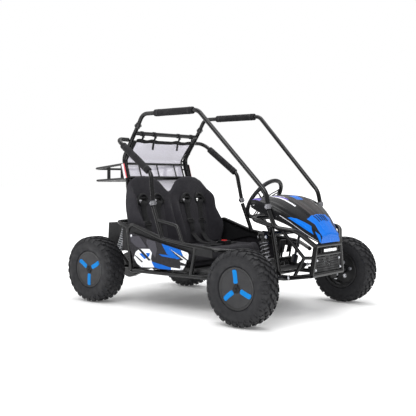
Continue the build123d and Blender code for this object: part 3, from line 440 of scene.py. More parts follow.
def add_wheel(name, centre, w, body, side, phase, bore, hub, nodes_replaced):
    """A steel rim 2 w wide with its hub, a dished cap, the cap's dark recesses and three blue bars."""
    flange = [(0, 111), (3.5, 111), (6, 102), (22, 101), (30, 92)]
    well = [(0, 107), (3, 98), (24, 97), (32, 88)]
    barrel = [(u - w, r) for u, r in flange] + [(w - u, r) for u, r in reversed(flange)]
    barrel += [(w - u, r) for u, r in well]
    barrel += [(6, 88), (5, 24), (hub[1], 24), (hub[1], bore), (hub[0], bore), (hub[0], 24), (0, 24), (0, 88)]
    barrel += [(u - w, r) for u, r in reversed(well)]
    rim = lathe(barrel, centre, (0, side, 0), 96)
    bolt_circle = 42.0
    bolts = []
    for i in range(4):
        angle = math.tau * i / 4 + math.radians(phase)
        at = Vector((bolt_circle * math.cos(angle), -side * 0.5, bolt_circle * math.sin(angle)))
        bolts.append(hex_bolt(centre + at * mm, (0, -side, 0), 14, 7))
    piece(f"{name}_rim", *rim, satin_black, body, node=nodes_replaced, kind="rim", bevel=0.0008)
    trim(f"{name}_lug_bolts", bolts, zinc, body, "zinc", flat=True)
    sunk = [(12, 104.5), (2.5, 104.5), (1.5, 103), (1.5, 101.5), (6, 100.8), (6, 98.6), (2.6, 97.8), (2.6, 60),
            (2.4, 26), (5, 23), (5.5, 10), (5.5, 0.1), (12, 0.1)]
    cap = [(w - u, r) for u, r in sunk]
    verts, faces = lathe(cap, centre, (0, side, 0), 120)
    rows = len(cap)
    dark = {3, 4, 5, 9, 10}
    picks = [1 if i % rows in dark else 0 for i in range(len(faces))]
    piece(f"{name}_cap", verts, faces, [cap_grey, moulded], body, kind="rim", indices=picks, bevel=0.0005)
    bars, wells = [], []
    for i in range(3):
        angle = math.radians(phase + 120 * i)
        bars.append(cap_bar(centre, side, w - 2.2, angle))
        out = Vector((math.cos(angle), 0, math.sin(angle)))
        across = Vector((-math.sin(angle), 0, math.cos(angle)))
        wells.append(loft([[centre + (out * (14.5 + a) + across * b + Vector((0, side * (w + level), 0))) * mm
                            for a, b in flat_section(9.5, 8.5)] for level in (-4.6, -2.0)]))
    trim(f"{name}_bars", bars, spoke_blue, body, "rim", bevel=0.0005)
    trim(f"{name}_hub_pads", wells, moulded, body, "rim", bevel=0.001)


front_axle = Vector((0.6, 0.534, 0.203))
rear_axle = Vector((-0.6, 0.44, 0.203))
cap_phase = {"front": 97.5, "rear": 28.0}
for name, side in sides.items():
    front, rear, wheel = flip(front_axle, side), flip(rear_axle, side), f"front_wheel_{name}"
    add_tyre(f"front_tyre_{name}_tread", front, 66, f"{wheel}_body", f"front_tyre_{name}")
    add_wheel(wheel, front, 52, f"{wheel}_body", side, cap_phase["front"], 9.1, (-40, 20), wheel)
    add_tyre(f"rear_tyre_{name}_tread", rear, 74, "axle_body", "rear_tyres")
    add_wheel(f"rear_wheel_{name}", rear, 60, "axle_body", side, cap_phase["rear"], 12.6, (-34, 34),
              "rear_wheels")


# ---- coil springs on the shocks ----
def add_spring(name, top, bottom, body, node, turns, mat, wire=3.4, radius=21.8):
    """A ground-end coil from the upper seat to the lower one; it flattens towards the upper seat."""
    top, bottom = Vector(top), Vector(bottom)
    reach = (bottom - top).normalized()
    length = (bottom - top).length
    first, last = 0.0285 + wire * mm, length - 0.0305 - wire * mm
    one, two, _ = axes_of(reach)
    line = []
    count = int(turns * 28)
    for i in range(count + 1):
        t = i / count
        dead = 0.1
        rise = 0.0 if t < dead else 1.0 if t > 1 - dead else (t - dead) / (1 - 2 * dead)
        seat = 2 * wire * mm * (min(t, dead) / dead + max(t - 1 + dead, 0) / dead) * 0.4
        along = first + seat + (last - first - 0.8 * 2 * wire * mm) * rise
        angle = math.tau * turns * t
        line.append(top + reach * along + (one * math.cos(angle) + two * math.sin(angle)) * radius * mm)
    made = trim(name, [sweep(line, round_section(wire * mm, 10))], mat, body, "spring", node=node)
    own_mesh(made)


front_top, front_low = Vector((0.575, 0.318, 0.452)), Vector((0.622, 0.322, 0.262))
rear_top, rear_low = Vector((-0.43, 0.338, 0.478)), Vector((-0.5, 0.338, 0.3))
for name, side in sides.items():
    shock = f"front_shock_{name}"
    add_spring(f"front_spring_{name}", flip(front_top, side), flip(front_low, side), f"{shock}_upper",
               f"{shock}_spring", 7.5, spring_silver_shaded)
    add_spring(f"rear_spring_{name}", flip(rear_top, side), flip(rear_low, side), "rear_shock_bodies",
               "rear_shock_spring", 10.5, spring_silver)


# ---- seats: one twin back with two crowns, one twin base ----
seat_y = 205.0
slot_z, slot_x, slot_offset = 625.0, -366.0, 67.5
lean = math.radians(11.5)
back_thick = 30.0
crown_line = [(0, 686), (16, 690), (38, 707), (84, 753), (128, 774), (208, 785), (282, 778), (332, 756),
              (356, 731), (373, 692), (388, 642), (402, 560)]
back_low = 334.0


def back_point(y, z, off):
    """A point of the seat back: off is how far it stands in front of the back's plane."""
    x = slot_x + (slot_z - z) * math.tan(lean)
    return Vector((x + off * math.cos(lean), y, z + off * math.sin(lean))) * mm


wing_rise = [(352, 62), (390, 84), (430, 98), (470, 96), (520, 74), (560, 56), (600, 58), (632, 58),
             (665, 40), (700, 14), (735, 0)]
inner_rise = [(352, 46), (400, 51), (470, 41), (540, 27), (600, 10), (650, 0)]


def seat_front(y, z):
    """The front surface of the back over its plane, before its edges are rounded."""
    outer = between(wing_rise, z) * bump_at(abs(y), 376, 46)
    inner = between(inner_rise, z) * bump_at(abs(y), 37, 40)
    pad = 7 * bump_at(abs(abs(y) - seat_y), 0, 120) * ease((z - 352) / 60)
    lumbar = 9 * bump_at(z, 430, 90) * bump_at(abs(abs(y) - seat_y), 0, 130)
    groove = -5 * bump_at(abs(abs(y) - seat_y), 128, 9) * ease((640 - z) / 60)
    head = -4 * bump_at(abs(y) - seat_y, 0, 90) * ease((z - 690) / 60)
    return max(outer, inner) + pad + lumbar + groove + head


def rounded_edge(inset, radius):
    """How much of its thickness a cushion has at an inset from its edge: 0 at the edge, 1 past the radius."""
    return math.sqrt(max(0.0, 1 - (1 - min(inset / radius, 1.0)) ** 2))


def add_cushion(name, form, node):
    """A sewn cushion in seat cloth that stands for a CAD solid."""
    cushion = piece(name, *form, seat_cloth, chassis, node=node, kind="seat_fabric", subdiv=1)


def build_seat_back():
    """The padded twin back as one closed form, with four harness slots through it."""
    half_width, edge_radius, middle = 403.0, 26.0, back_thick / 2
    across, rows = 134, 84
    front, rear, holes = [], [], set()
    for i in range(across + 1):
        y = -half_width + 2 * half_width * i / across
        top = between(crown_line, abs(y))
        beside_slot = abs(abs(abs(y) - seat_y) - slot_offset)
        for j in range(rows + 1):
            z = back_low + (top - back_low) * j / rows
            edge = min((top - z) * 0.8, half_width + 0.5 - abs(y), (z - back_low) * 1.5 + 4)
            fall = rounded_edge(edge, edge_radius)
            front.append(back_point(y, z, -middle + (middle + seat_front(y, z)) * fall))
            rear.append(back_point(y, z, -middle - middle * fall))
            if beside_slot < 33 and abs(front[-1].z / mm - slot_z) < 13:
                holes.add(len(front) - 1)
    add_cushion("seat_back_cushion", shell(front, rear, rows + 1, holes), "seat_back")


def build_seat_base():
    """The padded twin base: two pans with raised thighs and sides, a rolled front and a middle channel."""
    rear_x, front_x, half_width, low, welt, top = -322.0, 64.0, 392.0, 240.0, 274.0, 338.0
    across, along, edge_radius = 112, 60, 30.0
    upper, lower = [], []
    for i in range(across + 1):
        y = -half_width + 2 * half_width * i / across
        for j in range(along + 1):
            x = rear_x + (front_x - rear_x) * j / along
            fall = rounded_edge(min(half_width - abs(y), front_x - x), edge_radius)
            side = 9 * bump_at(abs(y), 366, 40) * ease((x + 250) / 60)
            roll = 5 * bump_at(x, 34, 46)
            middle = -11 * bump_at(y, 0, 14)
            seam = -3.5 * bump_at(abs(abs(y) - seat_y), 122, 8) - 3.0 * bump_at(x, 0, 8)
            rise = top + side + roll + middle + seam
            upper.append(Vector((x, y, welt + (rise - welt) * fall)) * mm)
            lower.append(Vector((x - 12 * (1 - fall), y, welt - (welt - low) * fall)) * mm)
    add_cushion("seat_base_cushion", shell(upper, lower, along + 1), "seat_base")


def build_slot_liners():
    """Black moulded sleeves through the back, one in each harness slot, under a tilted brow."""
    sleeve = [(46, 25, 4), (44, 23, 9), (34, 14, 9), (31, 11, 3), (31, 11, -30), (41, 20, -32),
              (41, 20, -30.5), (46, 25, -2)]
    brow_line = ((-44, 10, 6), (-24, 33, 10), (2, 38, 11), (28, 26, 10), (50, -2, 7), (54, -18, 4))
    parts = []
    for y in (-seat_y, seat_y):
        for offset in (-slot_offset, slot_offset):
            outwards = math.copysign(1, offset)
            loops = [[back_point(y + offset + math.copysign(half_w - half_h, a) + a, slot_z + b, off + 2.5)
                      for a, b in round_section(half_h, 40)] for half_w, half_h, off in sleeve]
            parts.append(loft(loops, closed=True))
            brow = [back_point(y + offset + outwards * a, slot_z + b, off) for a, b, off in brow_line]
            parts.append(sweep(smooth_line(brow, 6), round_section(8.5 * mm, 12)))
    trim("harness_slot_liners", parts, moulded)


build_seat_back()
build_seat_base()
build_slot_liners()


# ---- harness: webbing, buckles, adjusters ----
buckle_x = -92.0
web_w, web_t = 46 * mm, 2.4 * mm
lap_run = ((-262, 359), (-215, 347.5), (-160, 345), (-128, 345))
adjuster_place = 0.42
bar_section = round_section(0.0028, 8)


def build_harness():
    """Shoulder straps from the slots to the lap, lap straps down to the floor, and their adjusters."""
    straps, hardware = [], []
    for centre in (-seat_y, seat_y):
        for offset in (-slot_offset, slot_offset):
            y = centre + offset
            run = [back_point(y, slot_z + rise, off) for rise, off in ((3, -34), (-3, 3), (-16, 12))]
            for z in (570, 520, 470, 430, 400):
                pull = y + (centre - y) * 0.28 * ease((slot_z - z) / 240)
                run.append(back_point(pull, z, seat_front(pull, z) + 2.4))
            inward = centre + offset * 0.62
            run += [Vector((x, inward, z)) * mm for x, z in lap_run]
            line = smooth_line(run, 6)
            straps.append(sweep(line, strap_section(web_w, web_t), across=(0, 1, 0)))
            place = int(len(line) * adjuster_place)
            side, ahead = Vector((0, 1, 0)), (line[place + 1] - line[place]).normalized()
            up = ahead.cross(side)
            middle = line[place] + (up if up.x > 0 else -up) * 0.0032
            for shift in (-0.011, 0.0, 0.011):
                rung = [middle + ahead * shift + side * reach for reach in (-0.029, 0, 0.029)]
                hardware.append(sweep(smooth_line(rung, 2), bar_section))
            for edge in (-0.028, 0.028):
                stile = [middle + side * edge + ahead * reach for reach in (-0.013, 0.013)]
                hardware.append(sweep(stile, bar_section))
        for turn in (-1, 1):
            run = [Vector((buckle_x, centre + turn * a, z)) * mm
                   for a, z in ((30, 346), (70, 343), (120, 344.5), (165, 345.5), (181, 333), (184, 300))]
            for point in run:
                point.x -= 0.03 * ease((abs(point.y) - abs(centre) * mm) / 0.15)
            straps.append(sweep(smooth_line(run, 6), strap_section(web_w, web_t), across=(1, 0, 0)))
    trim("harness_straps", straps, strap_cloth, kind="webbing", node="harness_webbing")
    trim("harness_adjusters", hardware, satin_black)


build_harness()

# ---- wind net: a mesh sheet hung from the crossbar, hemmed in black ----
net_line = [(-414, 1012), (-510, 884), (-510, 848), (-486, 772), (-486, 752), (-456, 600)]
net_half = 268.0
net_bar = (-403.0, 1043.0)
hoop_leg = [(485, -450), (766, -469), (890, -504), (1071, -385)]
strap_places = (-235, -124, 107, 235)


def net_material():
    """Pale mesh with a faint painted glow: fine threads with open cells between them."""
    mat, tree, shader, where = start_material("wind_mesh", 0.7, sheen=0.2, spec=0.2)
    mesh = reckon(tree, "MAXIMUM", *threads(tree, where, 0.0022, "YZ"))
    tree.links.new(rescale(tree, mesh, 0.35, 0.7, 0.5, 0.92), shader.inputs["Alpha"])
    tree.links.new(vary_colour(tree, where, (0.7, 0.68, 0.77), 0.05, 12.0), shader.inputs["Base Color"])
    # painted glow: a faint emission lifts the net's pale colour, though it is no lamp
    shader.inputs["Emission Color"].default_value = rgba((0.66, 0.63, 0.74))
    shader.inputs["Emission Strength"].default_value = 0.16
    raise_bump(tree, shader, mesh, 0.0003)
    return mat


def tape(width):
    """Thin net tape, its width in millimetres, as a section for sweep."""
    return strap_section(width * mm, 1.6 * mm)


def build_net():
    """The sheet with its scalloped top, hem tape, hanging loops and their loose tails."""
    lengths = [0.0]
    for a, b in zip(net_line, net_line[1:]):
        lengths.append(lengths[-1] + math.dist(a, b))
    xs = list(zip(lengths, [x for x, _ in net_line]))
    zs = list(zip(lengths, [z for _, z in net_line]))
    across, down = 134, 96
    verts, hem = [], []
    for i in range(across + 1):
        y = -net_half + 2 * net_half * i / across
        near = min(abs(y - s) for s in strap_places)
        scallop = 7 * ease(near / 55)
        for j in range(down + 1):
            t = lengths[-1] * j / down
            fade = max(0.0, 1 - t / 90)
            wave = 2.2 * math.sin(y / 47) * math.sin(t / 61) + 3 * fade * math.sin(y / 29)
            soft = (between(xs, t - 6) + between(xs, t) + between(xs, t + 6)) / 3
            ripple = wave * ease((t - 8) / 30) * ease((150 - t) / 40)
            verts.append(Vector((soft + ripple + 1, y, between(zs, t) - scallop * fade)) * mm)
    step = down + 1
    faces = [[i * step + j, (i + 1) * step + j, (i + 1) * step + j + 1, i * step + j + 1]
             for i in range(across) for j in range(down)]
    picks = [1 if j < 6 or i < 4 or i >= across - 4 else 0 for i in range(across) for j in range(down)]
    net = piece("wind_net_sheet", verts, faces, [net_material(), strap_cloth], chassis, node="wind_net",
                kind="net", indices=picks)
    loops, tapes = [], []
    for y in strap_places:
        ring = [Vector((net_bar[0] + a, y, net_bar[1] + b)) * mm for a, b in round_section(14.6, 24)]
        loops.append(sweep(ring, tape(22), across=(0, 1, 0), closed=True))
        low_x, low_z = (-404, 1000) if abs(y) > 200 else (-412, 945)
        tail = [(-390, y, 1036), (-392, y, 1018), (-404, y, 1000), (low_x, y - 3, low_z)]
        tapes.append(sweep(smooth_line([Vector(p) * mm for p in tail], 6), tape(19), across=(0, 1, 0)))
        for z in (1021, 1028):
            slide = [Vector((-389.5, y + reach, z)) * mm for reach in (-13, 13)]
            tapes.append(sweep(slide, round_section(2.2 * mm, 8)))
    sheet_line = sorted((z, x) for x, z in net_line)
    for side in (-1, 1):
        for z in (990, 935, 880, 825, 772, 715, 655):
            leg_x, sheet_x = between(hoop_leg, z), between(sheet_line, z)
            tie = [(sheet_x + 2, side * 262, z), (leg_x + 14.5, side * 281, z - 4),
                   (leg_x + 14.5, side * 294, z - 5), (leg_x + 3, side * 309, z - 3)]
            tapes.append(sweep(smooth_line([Vector(p) * mm for p in tie], 5), tape(9), across=(0, 0, 1)))
        edge = [Vector(((between(sheet_line, z) + between(hoop_leg, z)) / 2 + 4, side * 277, z)) * mm
                for z in range(1000, 600, -20)]
        tapes.append(sweep(edge, tape(24), across=(0, 1, 0)))
    holders = trim("wind_net_loops", loops + tapes, strap_cloth, kind="webbing")


build_net()

# ---- foam sleeves on the cage bars ----
roof_run = (Vector((-333, 297, 1158)) * mm, Vector((110, 305, 1158)) * mm, 105, 408)
side_run = (Vector((-441, 414, 1004)) * mm, Vector((-151, 419, 794)) * mm, 68, 338)


def add_foam(name, start, end, near, far, node=None):
    """A foam sleeve with soft ends, closed underneath along a slit, held by two ties."""
    axis = (end - start).normalized()
    length = far - near
    profile = [(0, 13.2), (0, 18.5), (1.5, 20.6), (5, 21.4), (length * 0.3, 21.2), (length * 0.5, 21.5),
               (length * 0.75, 21.2), (length - 5, 21.4), (length - 1.5, 20.6), (length, 18.5), (length, 13.2)]
    verts, faces = lathe(profile, start + axis * near * mm, axis, 64)
    down = (Vector((0, 0, -1)) - axis * axis.dot(Vector((0, 0, -1)))).normalized()
    for vert in verts:
        out = vert - start
        out -= axis * out.dot(axis)
        if out.length > 0.017 and out.normalized().dot(down) > 0.994:
            vert -= down * 0.0035
    sleeve = piece(name, verts, faces, foam, chassis, node=node, kind="foam")
    ties = [lathe([(0, 21.3), (0, 22.1), (4, 22.1), (4, 21.3)], start + axis * (near + at) * mm, axis, 48)
            for at in (26, length - 30)]
    trim(f"{name}_ties", ties, satin_black)


for name, side in sides.items():
    for kind, (start, end, near, far) in (("roof", roof_run), ("side", side_run)):
        add_foam(f"{kind}_foam_{name}", flip(start, side), flip(end, side), near, far, node="foam_pads")

# ---- front cowl: moulded shell with painted graphics and a painted reflection ----
# each station: x, crest height, shoulder half width and height, sill half width and height
cowl_stations = [(448, 668, 232, 652, 250, 612), (500, 676, 236, 650, 256, 588),
                 (585, 664, 232, 625, 254, 556), (670, 618, 200, 575, 214, 516),
                 (745, 556, 150, 512, 160, 462), (809, 470, 92, 452, 104, 417)]


def cowl_point(u, v):
    """A point of the cowl: u runs from the cab to the nose, v from the crest (0) to each sill (-1, 1)."""
    place = u * (len(cowl_stations) - 1)
    i = min(int(place), len(cowl_stations) - 2)
    t = place - i
    near = [cowl_stations[min(max(k, 0), len(cowl_stations) - 1)] for k in (i - 1, i, i + 1, i + 2)]
    x, crest, shoulder, shoulder_z, sill, sill_z = [spline(*values, t) for values in zip(*near)]
    drop = crest - shoulder_z
    outline = [(-0.5 * shoulder, crest - 0.3 * drop), (0, crest), (0.5 * shoulder, crest - 0.3 * drop),
               (shoulder, shoulder_z), (sill, sill_z), (sill + 4, 2 * sill_z - shoulder_z)]
    span = abs(v) * 3
    j = min(int(span), 2)
    y, z = [spline(*values, span - j) for values in zip(*outline[j:j + 4])]
    ridge = 5.0 * bump_at(abs(v), 0.3, 0.1) * ease((u - 0.15) / 0.3) * ease((1.0 - u) / 0.1)
    channel = -5.5 * bump_at(abs(v), 0.66, 0.07) * ease((u - 0.1) / 0.2)
    scoop = -6.0 * bump_at(v, 0.0, 0.2) * bump_at(u, 0.55, 0.3)
    lift = ridge + channel + scoop - 2.5
    return Vector((x - 0.5, math.copysign(y + lift * 0.25, v) if v else 0.0, z + lift)) * mm


paint_edge = 0.003


def painted(name, base, layers):
    """Glossy paint with flat graphics and, on the cowl, a painted reflection. A layer is a colour and its
    edges: a*u + b*|v| > c inside.
    """
    mat, tree, shader, where = start_material(name, 0.24, coat=0.05, spec=0.16)
    uv = add_node(tree, "ShaderNodeUVMap").outputs[0]
    split = add_node(tree, "ShaderNodeSeparateXYZ", {0: uv}).outputs
    mirrored = reckon(tree, "ABSOLUTE", split["Y"])
    folded = add_node(tree, "ShaderNodeCombineXYZ", {"X": split["X"], "Y": mirrored}).outputs[0]
    colour = vary_colour(tree, where, base, 0.2, 8.0)
    for tint, edges in layers:
        mask = None
        for a, b, c in edges:
            dot = add_node(tree, "ShaderNodeVectorMath", {0: folded, 1: (a, b, 0)}, operation="DOT_PRODUCT")
            edge = rescale(tree, dot.outputs["Value"], c - paint_edge, c + paint_edge)
            mask = edge if mask is None else reckon(tree, "MULTIPLY", mask, edge)
        colour = mix_colours(tree, mask, colour, rgba(tint))
    tree.links.new(colour, shader.inputs["Base Color"])
    vary_rough(tree, shader, where, 0.24)
    raise_bump(tree, shader, noise(tree, where, 60.0), 0.00006)
    return mat


blue, white, violet, painted_reflection = (0.0, 0.15, 0.66), (0.8, 0.8, 0.84), (0.12, 0.08, 0.42), (0.026, 0.021, 0.022)
cowl_paint = painted("cowl_paint", (0.006, 0.006, 0.007), [
    # painted reflection: a brownish grey patch over the top, standing in for light reflected off the dark paint
    (painted_reflection, [(1, 0, 0.34), (0, -1, -0.29), (-1, 0, -0.78), (0, 1, 0.05)]),
    (blue, [(2, 1, 1.98), (0.47, 1, 0.955), (0, -1, -0.8), (-1, 0.217, -0.718)]),
    (blue, [(1, -0.25, 0.7375), (-1, 0.25, -0.8), (0, 1, 0.62), (0, -1, -0.97)]),
    (blue, [(1, 0, 0.755), (-0.5, -1, -0.855), (-1, 0, -0.87)]),
    (blue, [(1, 0, 0.84), (1.33, -1, 0.7)]),
    (white, [(1, 0, 0.18), (0, 1, 0.35), (0, -1, -0.385), (-1, 0, -0.56)]),
    (violet, [(1, 0, 0.2), (0, 1, 0.305), (0, -1, -0.345), (-1, 0, -0.44)]),
    (white, [(1, 0, 0.2), (0, 1, 0.28), (0, -1, -0.3), (-1, 0, -0.38)]),
    (blue, [(1, 0, 0.33), (-1, 0, -0.46), (0, -1, -0.1)]),
    (violet, [(-1, 0, -0.2), (0, 1, 0.61), (0, -1, -0.69)]),
    (white, [(-0.29, 1, 0.698), (0.29, -1, -0.714), (1, 0, 0.5)]),
])
nose_rows, nose_floor = 4, 414.0


def build_cowl():
    """The outer skin with its UVs, the closed nose, an inner skin, rolled edges, slits and fasteners."""
    along, across = 60, 90
    outer, inner, uvs = [], [], []
    for i in range(along + nose_rows + 1):
        for j in range(across + 1):
            past = max(0, i - along) / nose_rows
            u, v = min(i / along, 1.0), -1 + 2 * j / across
            point = cowl_point(u, v)
            point.z += (nose_floor * mm - point.z) * past
            outer.append(point)
            inner.append(point + Vector((-0.002, -math.copysign(0.0016, v) * abs(v), -0.0026 * (1 - past))))
            uvs.append((u + 0.2 * past, v))
    made = piece("cowl_shell", *shell(outer, inner, across + 1), cowl_paint, chassis, node="front_cowl",
                 kind="cowl", subdiv=1)
    layer = made.data.uv_layers.new(name="graphics")
    for loop in made.data.loops:
        layer.data[loop.index].uv = uvs[loop.vertex_index % len(outer)]
    lip = smooth_line([cowl_point(i / 30, 1.0) for i in range(31)], 2)
    lips = [sweep([flip(p, side) for p in lip], round_section(0.0028, 8)) for side in (-1, 1)]
    slits, screws = [], []
    for k in range(-2, 3):
        ends = [cowl_point(0.765 + a, 0.105 * k + b) + Vector((0.001, 0, 0.0012))
                for a, b in ((0, -0.03), (0.04, 0), (0.08, 0.015))]
        slits.append(sweep(smooth_line(ends, 4), strap_section(0.009, 0.003), across=(0, 1, 0)))
    for side in (-1, 1):
        for u, v in ((0.1, 0.86), (0.45, 0.93), (0.8, 0.9), (0.95, 0.45)):
            here = cowl_point(u, side * v)
            inwards, back = cowl_point(u, side * (v - 0.05)) - here, cowl_point(u - 0.03, side * v) - here
            out = inwards.cross(back) * side
            screws.append(hex_bolt(here + out.normalized() * 0.0003, out.normalized(), 9, 4))
    trim("cowl_edge_rolls", lips, moulded)
    trim("cowl_slits", slits, moulded)
    trim("cowl_screws", screws, zinc, kind="zinc", flat=True)


build_cowl()

# ---- side panel graphics: thin vinyl pieces, mirrored left to right ----
panel_face = 458.0
vinyl = [
    (2, [(-282, 421), (-210, 425), (-149, 362), (-210, 356), (-238, 364), (-279, 391)]),
    (2, [(-146, 410), (-80, 400), (-67, 355), (-80, 306), (-126, 351), (-153, 393)]),
    (0, [(-207, 351), (-126, 354), (-107, 333), (-116, 298), (-103, 275), (-90, 249), (-190, 243), (-226, 262),
         (-252, 294), (-238, 330)]),
    (1, [(-210, 322), (-172, 328), (-146, 301), (-166, 292), (-190, 308)]),
    (1, [(-156, 329), (-123, 332), (-125, 317), (-139, 304)]),
    (3, [(-221, 349), (-197, 351), (-113, 289), (-133, 285)]),
    (3, [(-249, 310), (-238, 311), (-178, 277), (-187, 270)]),
    (1, [(-31, 390), (113, 363), (131, 329), (49, 355), (31, 363), (78, 330), (112, 313), (87, 308), (11, 333),
         (-11, 363)]),
    (0, [(117, 362), (166, 351), (174, 340), (168, 310), (134, 329)]),
    (0, [(31, 365), (49, 357), (159, 306), (155, 296), (137, 309)]),
    (0, [(109, 302), (143, 309), (155, 293), (152, 287), (115, 294)]),
    (0, [(112, 275), (147, 275), (131, 253), (121, 252)]),
    (0, [(43, 259), (112, 257), (122, 250), (43, 246)]),
    (1, [(-50, 329), (43, 327), (87, 312), (49, 313), (-28, 319)]),
    (1, [(-110, 282), (-28, 270), (42, 257), (42, 246), (-47, 245), (-88, 250)]),
]


def side_plate(outline, side, outer_y, inner_y):
    """A flat plate on one side of the kart, from its (x, z) outline and its faces' distances out."""
    return loft([[flip((x, y, z), side) * mm for x, z in outline] for y in (outer_y, inner_y)])


def build_vinyl():
    """Flat angular shapes stuck to both side panels, each a little higher than the one before."""
    tints = [graphic_white, graphic_blue, graphic_grey, panel_graphite]
    for name, side in sides.items():
        parts, picks = [], []
        for level, (tint, outline) in enumerate(vinyl):
            parts.append(side_plate(outline, side, panel_face + 0.3 + 0.06 * level, panel_face - 0.5))
            picks += [tint] * (len(outline) + 2)
        trim(f"panel_graphics_{name}", parts, tints, kind="panel", indices=picks, flat=True)


build_vinyl()

# ---- painted shade: dark sheets that close the gap between each side panel's top edge and its rail ----
shade_sheet_outline = [(-366, 500), (-362, 330), (-297, 330), (-60, 385), (186, 340), (330, 330), (330, 371),
                (160, 391), (-44, 418)]
shade_sheet_y, shade_sheet_half = 441.0, 1.5


def build_shade_sheets():
    """One flat dark sheet on each side, from the rail's centre line down behind the panel, as painted shade in
    place of the shaded gap.
    """
    for name, side in sides.items():
        # painted shade: a dark sheet where the gap shows only shade
        skin = side_plate(shade_sheet_outline, side, shade_sheet_y + shade_sheet_half, shade_sheet_y - shade_sheet_half)
        piece(f"gap_shade_sheet_{name}", *skin, moulded, chassis, kind="dark_plastic", flat=True)


build_shade_sheets()

# ---- steering wheel ----
wheel_centre = Vector((0.24, 0.18, 0.639))
wheel_axis = Vector((-math.cos(math.radians(35)), 0, math.sin(math.radians(35))))
wheel_down = wheel_axis.cross(Vector((0, 1, 0)))


def on_wheel(radius, angle, up=0.0):
    """A point of the steering wheel's plane in millimetres: angle 90 degrees is its bottom."""
    turn = math.radians(angle)
    flat = Vector((0, 1, 0)) * math.cos(turn) + wheel_down * math.sin(turn)
    return wheel_centre + flat * radius * mm + wheel_axis * up * mm


def build_steering_wheel():
    """A moulded grip with finger waves, three drilled spokes, a hub, its pad and six screws."""
    grip_ring, grip_radius, waves, around = 138.0, 12.6, 24, 144
    loops = []
    for i in range(around):
        angle = math.tau * i / around
        wave = 0.7 * math.sin(angle * waves) * bump_at(math.cos(angle) ** 2, 1.0, 0.7)
        loops.append([])
        for a, b in round_section(1.0, 16):
            radius = grip_radius + wave * (0.5 - 0.5 * a)
            loops[-1].append(on_wheel(grip_ring + radius * a, math.degrees(angle), radius * b))
    piece("steering_grip", *loft(loops, closed=True), rubber, "steering", node="steering_wheel",
          kind="dark_plastic", subdiv=1)
    bars, screws = [], []
    for angle in (90, 210, 330):
        for spread in (6.5, -6.5):
            run = [on_wheel(r, angle + spread * (1.0 if r > 60 else 1.9)) for r in (28, 60, 95, 128)]
            across = wheel_axis.cross(run[1] - wheel_centre)
            bars.append(sweep(smooth_line(run, 4), flat_section(4.6 * mm, 2 * mm), across))
        brace = [on_wheel(118, angle + k) for k in (-8, 0, 8)]
        bars.append(sweep(brace, flat_section(4 * mm, 2 * mm)))
    for k in range(6):
        screws.append(hex_bolt(on_wheel(31, 60 * k + 30, 4.2), wheel_axis, 6, 3.4))
    pad = [(-3, 0.1), (-3, 40), (2.6, 40), (3.8, 38.5), (4, 24), (11, 22), (15, 18), (16.5, 8), (17, 0.1)]
    neck = [(-41, 10.2), (-41, 20), (-38, 21), (-6, 21), (-3, 27), (-3, 10.2)]
    plate = lathe(pad, wheel_centre, wheel_axis, 72)
    collar = lathe(neck, wheel_centre, wheel_axis, 48)
    trim("steering_spokes", bars, satin_black, "steering", bevel=0.0008)
    trim("steering_hub", [plate, collar], moulded, "steering")
    trim("steering_screws", screws, zinc, "steering", "zinc", flat=True)


build_steering_wheel()


# ---- rack boots ----
rack_centre = Vector((0.5224, 0, 0.254))


def build_boots():
    """Pleated rubber boots over the rack's ends; they slide over the housing with the rack."""
    for name, side in sides.items():
        profile = [(150, 18.4), (150, 20.5)]
        for k in range(3):
            at = 154 + k * 7.0
            profile += [(at, 19.4 - k * 0.25), (at + 3.5, 23.5 - k * 1.3)]
        profile += [(175, 18.5), (178, 18.3), (183, 14), (193, 14), (193, 12.4), (183.5, 12.4), (178.5, 17.4)]
        trim(f"rack_boot_{name}", [lathe(profile, rack_centre, (0, side, 0), 48)], rubber, "rack", "tyre")


build_boots()

# ---- drive chain and sprocket ----
sprocket_at, pinion_at = Vector((-0.6, -0.13, 0.203)), Vector((-0.438, -0.13, 0.222))
sprocket_pitch_r, pinion_pitch_r = 71.0 * mm, 21.6 * mm


def chain_path(count):
    """Evenly spaced points round the two sprockets."""
    gap = pinion_at - sprocket_at
    base = math.atan2(gap.z, gap.x)
    lean_in = math.acos((sprocket_pitch_r - pinion_pitch_r) / gap.length)
    line, steps_round = [], 39
    for centre, radius, start, turn in (
        (sprocket_at, sprocket_pitch_r, base + lean_in, math.tau - 2 * lean_in),
        (pinion_at, pinion_pitch_r, base - lean_in, 2 * lean_in),
    ):
        for k in range(steps_round + 1):
            angle = start + turn * k / steps_round
            line.append(centre + Vector((math.cos(angle), 0, math.sin(angle))) * radius)
    line.append(line[0])
    steps = [0.0]
    for a, b in zip(line, line[1:]):
        steps.append(steps[-1] + (b - a).length)
    points, k = [], 0
    for i in range(count):
        want = steps[-1] * i / count
        while steps[k + 1] < want:
            k += 1
        t = (want - steps[k]) / max(steps[k + 1] - steps[k], 1e-9)
        points.append(line[k].lerp(line[k + 1], t))
    return points


def build_chain():
    """Rollers and waisted side plates, inner and outer pairs in turn."""
    points = chain_path(72)
    parts = []
    for i, here in enumerate(points):
        there = points[(i + 1) % len(points)]
        ahead = (there - here).normalized()
        up = Vector((0, 1, 0)).cross(ahead)
        parts.append(lathe([(-3.6, 0.1), (-3.6, 3.4), (3.6, 3.4), (3.6, 0.1)], here, (0, 1, 0), 12))
        outer = 3.4 if i % 2 else 2.4
        for side in (-1, 1):
            outline = []
            for end, middle in ((here, 90), (there, -90)):
                for k in range(5):
                    angle = math.radians(middle + 45 * k)
                    outline.append(end + (ahead * math.cos(angle) + up * math.sin(angle)) * 3.6 * mm)
            parts.append(loft([[p + Vector((0, side * depth, 0)) * mm for p in outline]
                               for depth in (outer, outer + 0.8)]))
    trim("drive_chain_links", parts, brushed, "swing_arm_body", "zinc", node="drive_chain", flat=True)


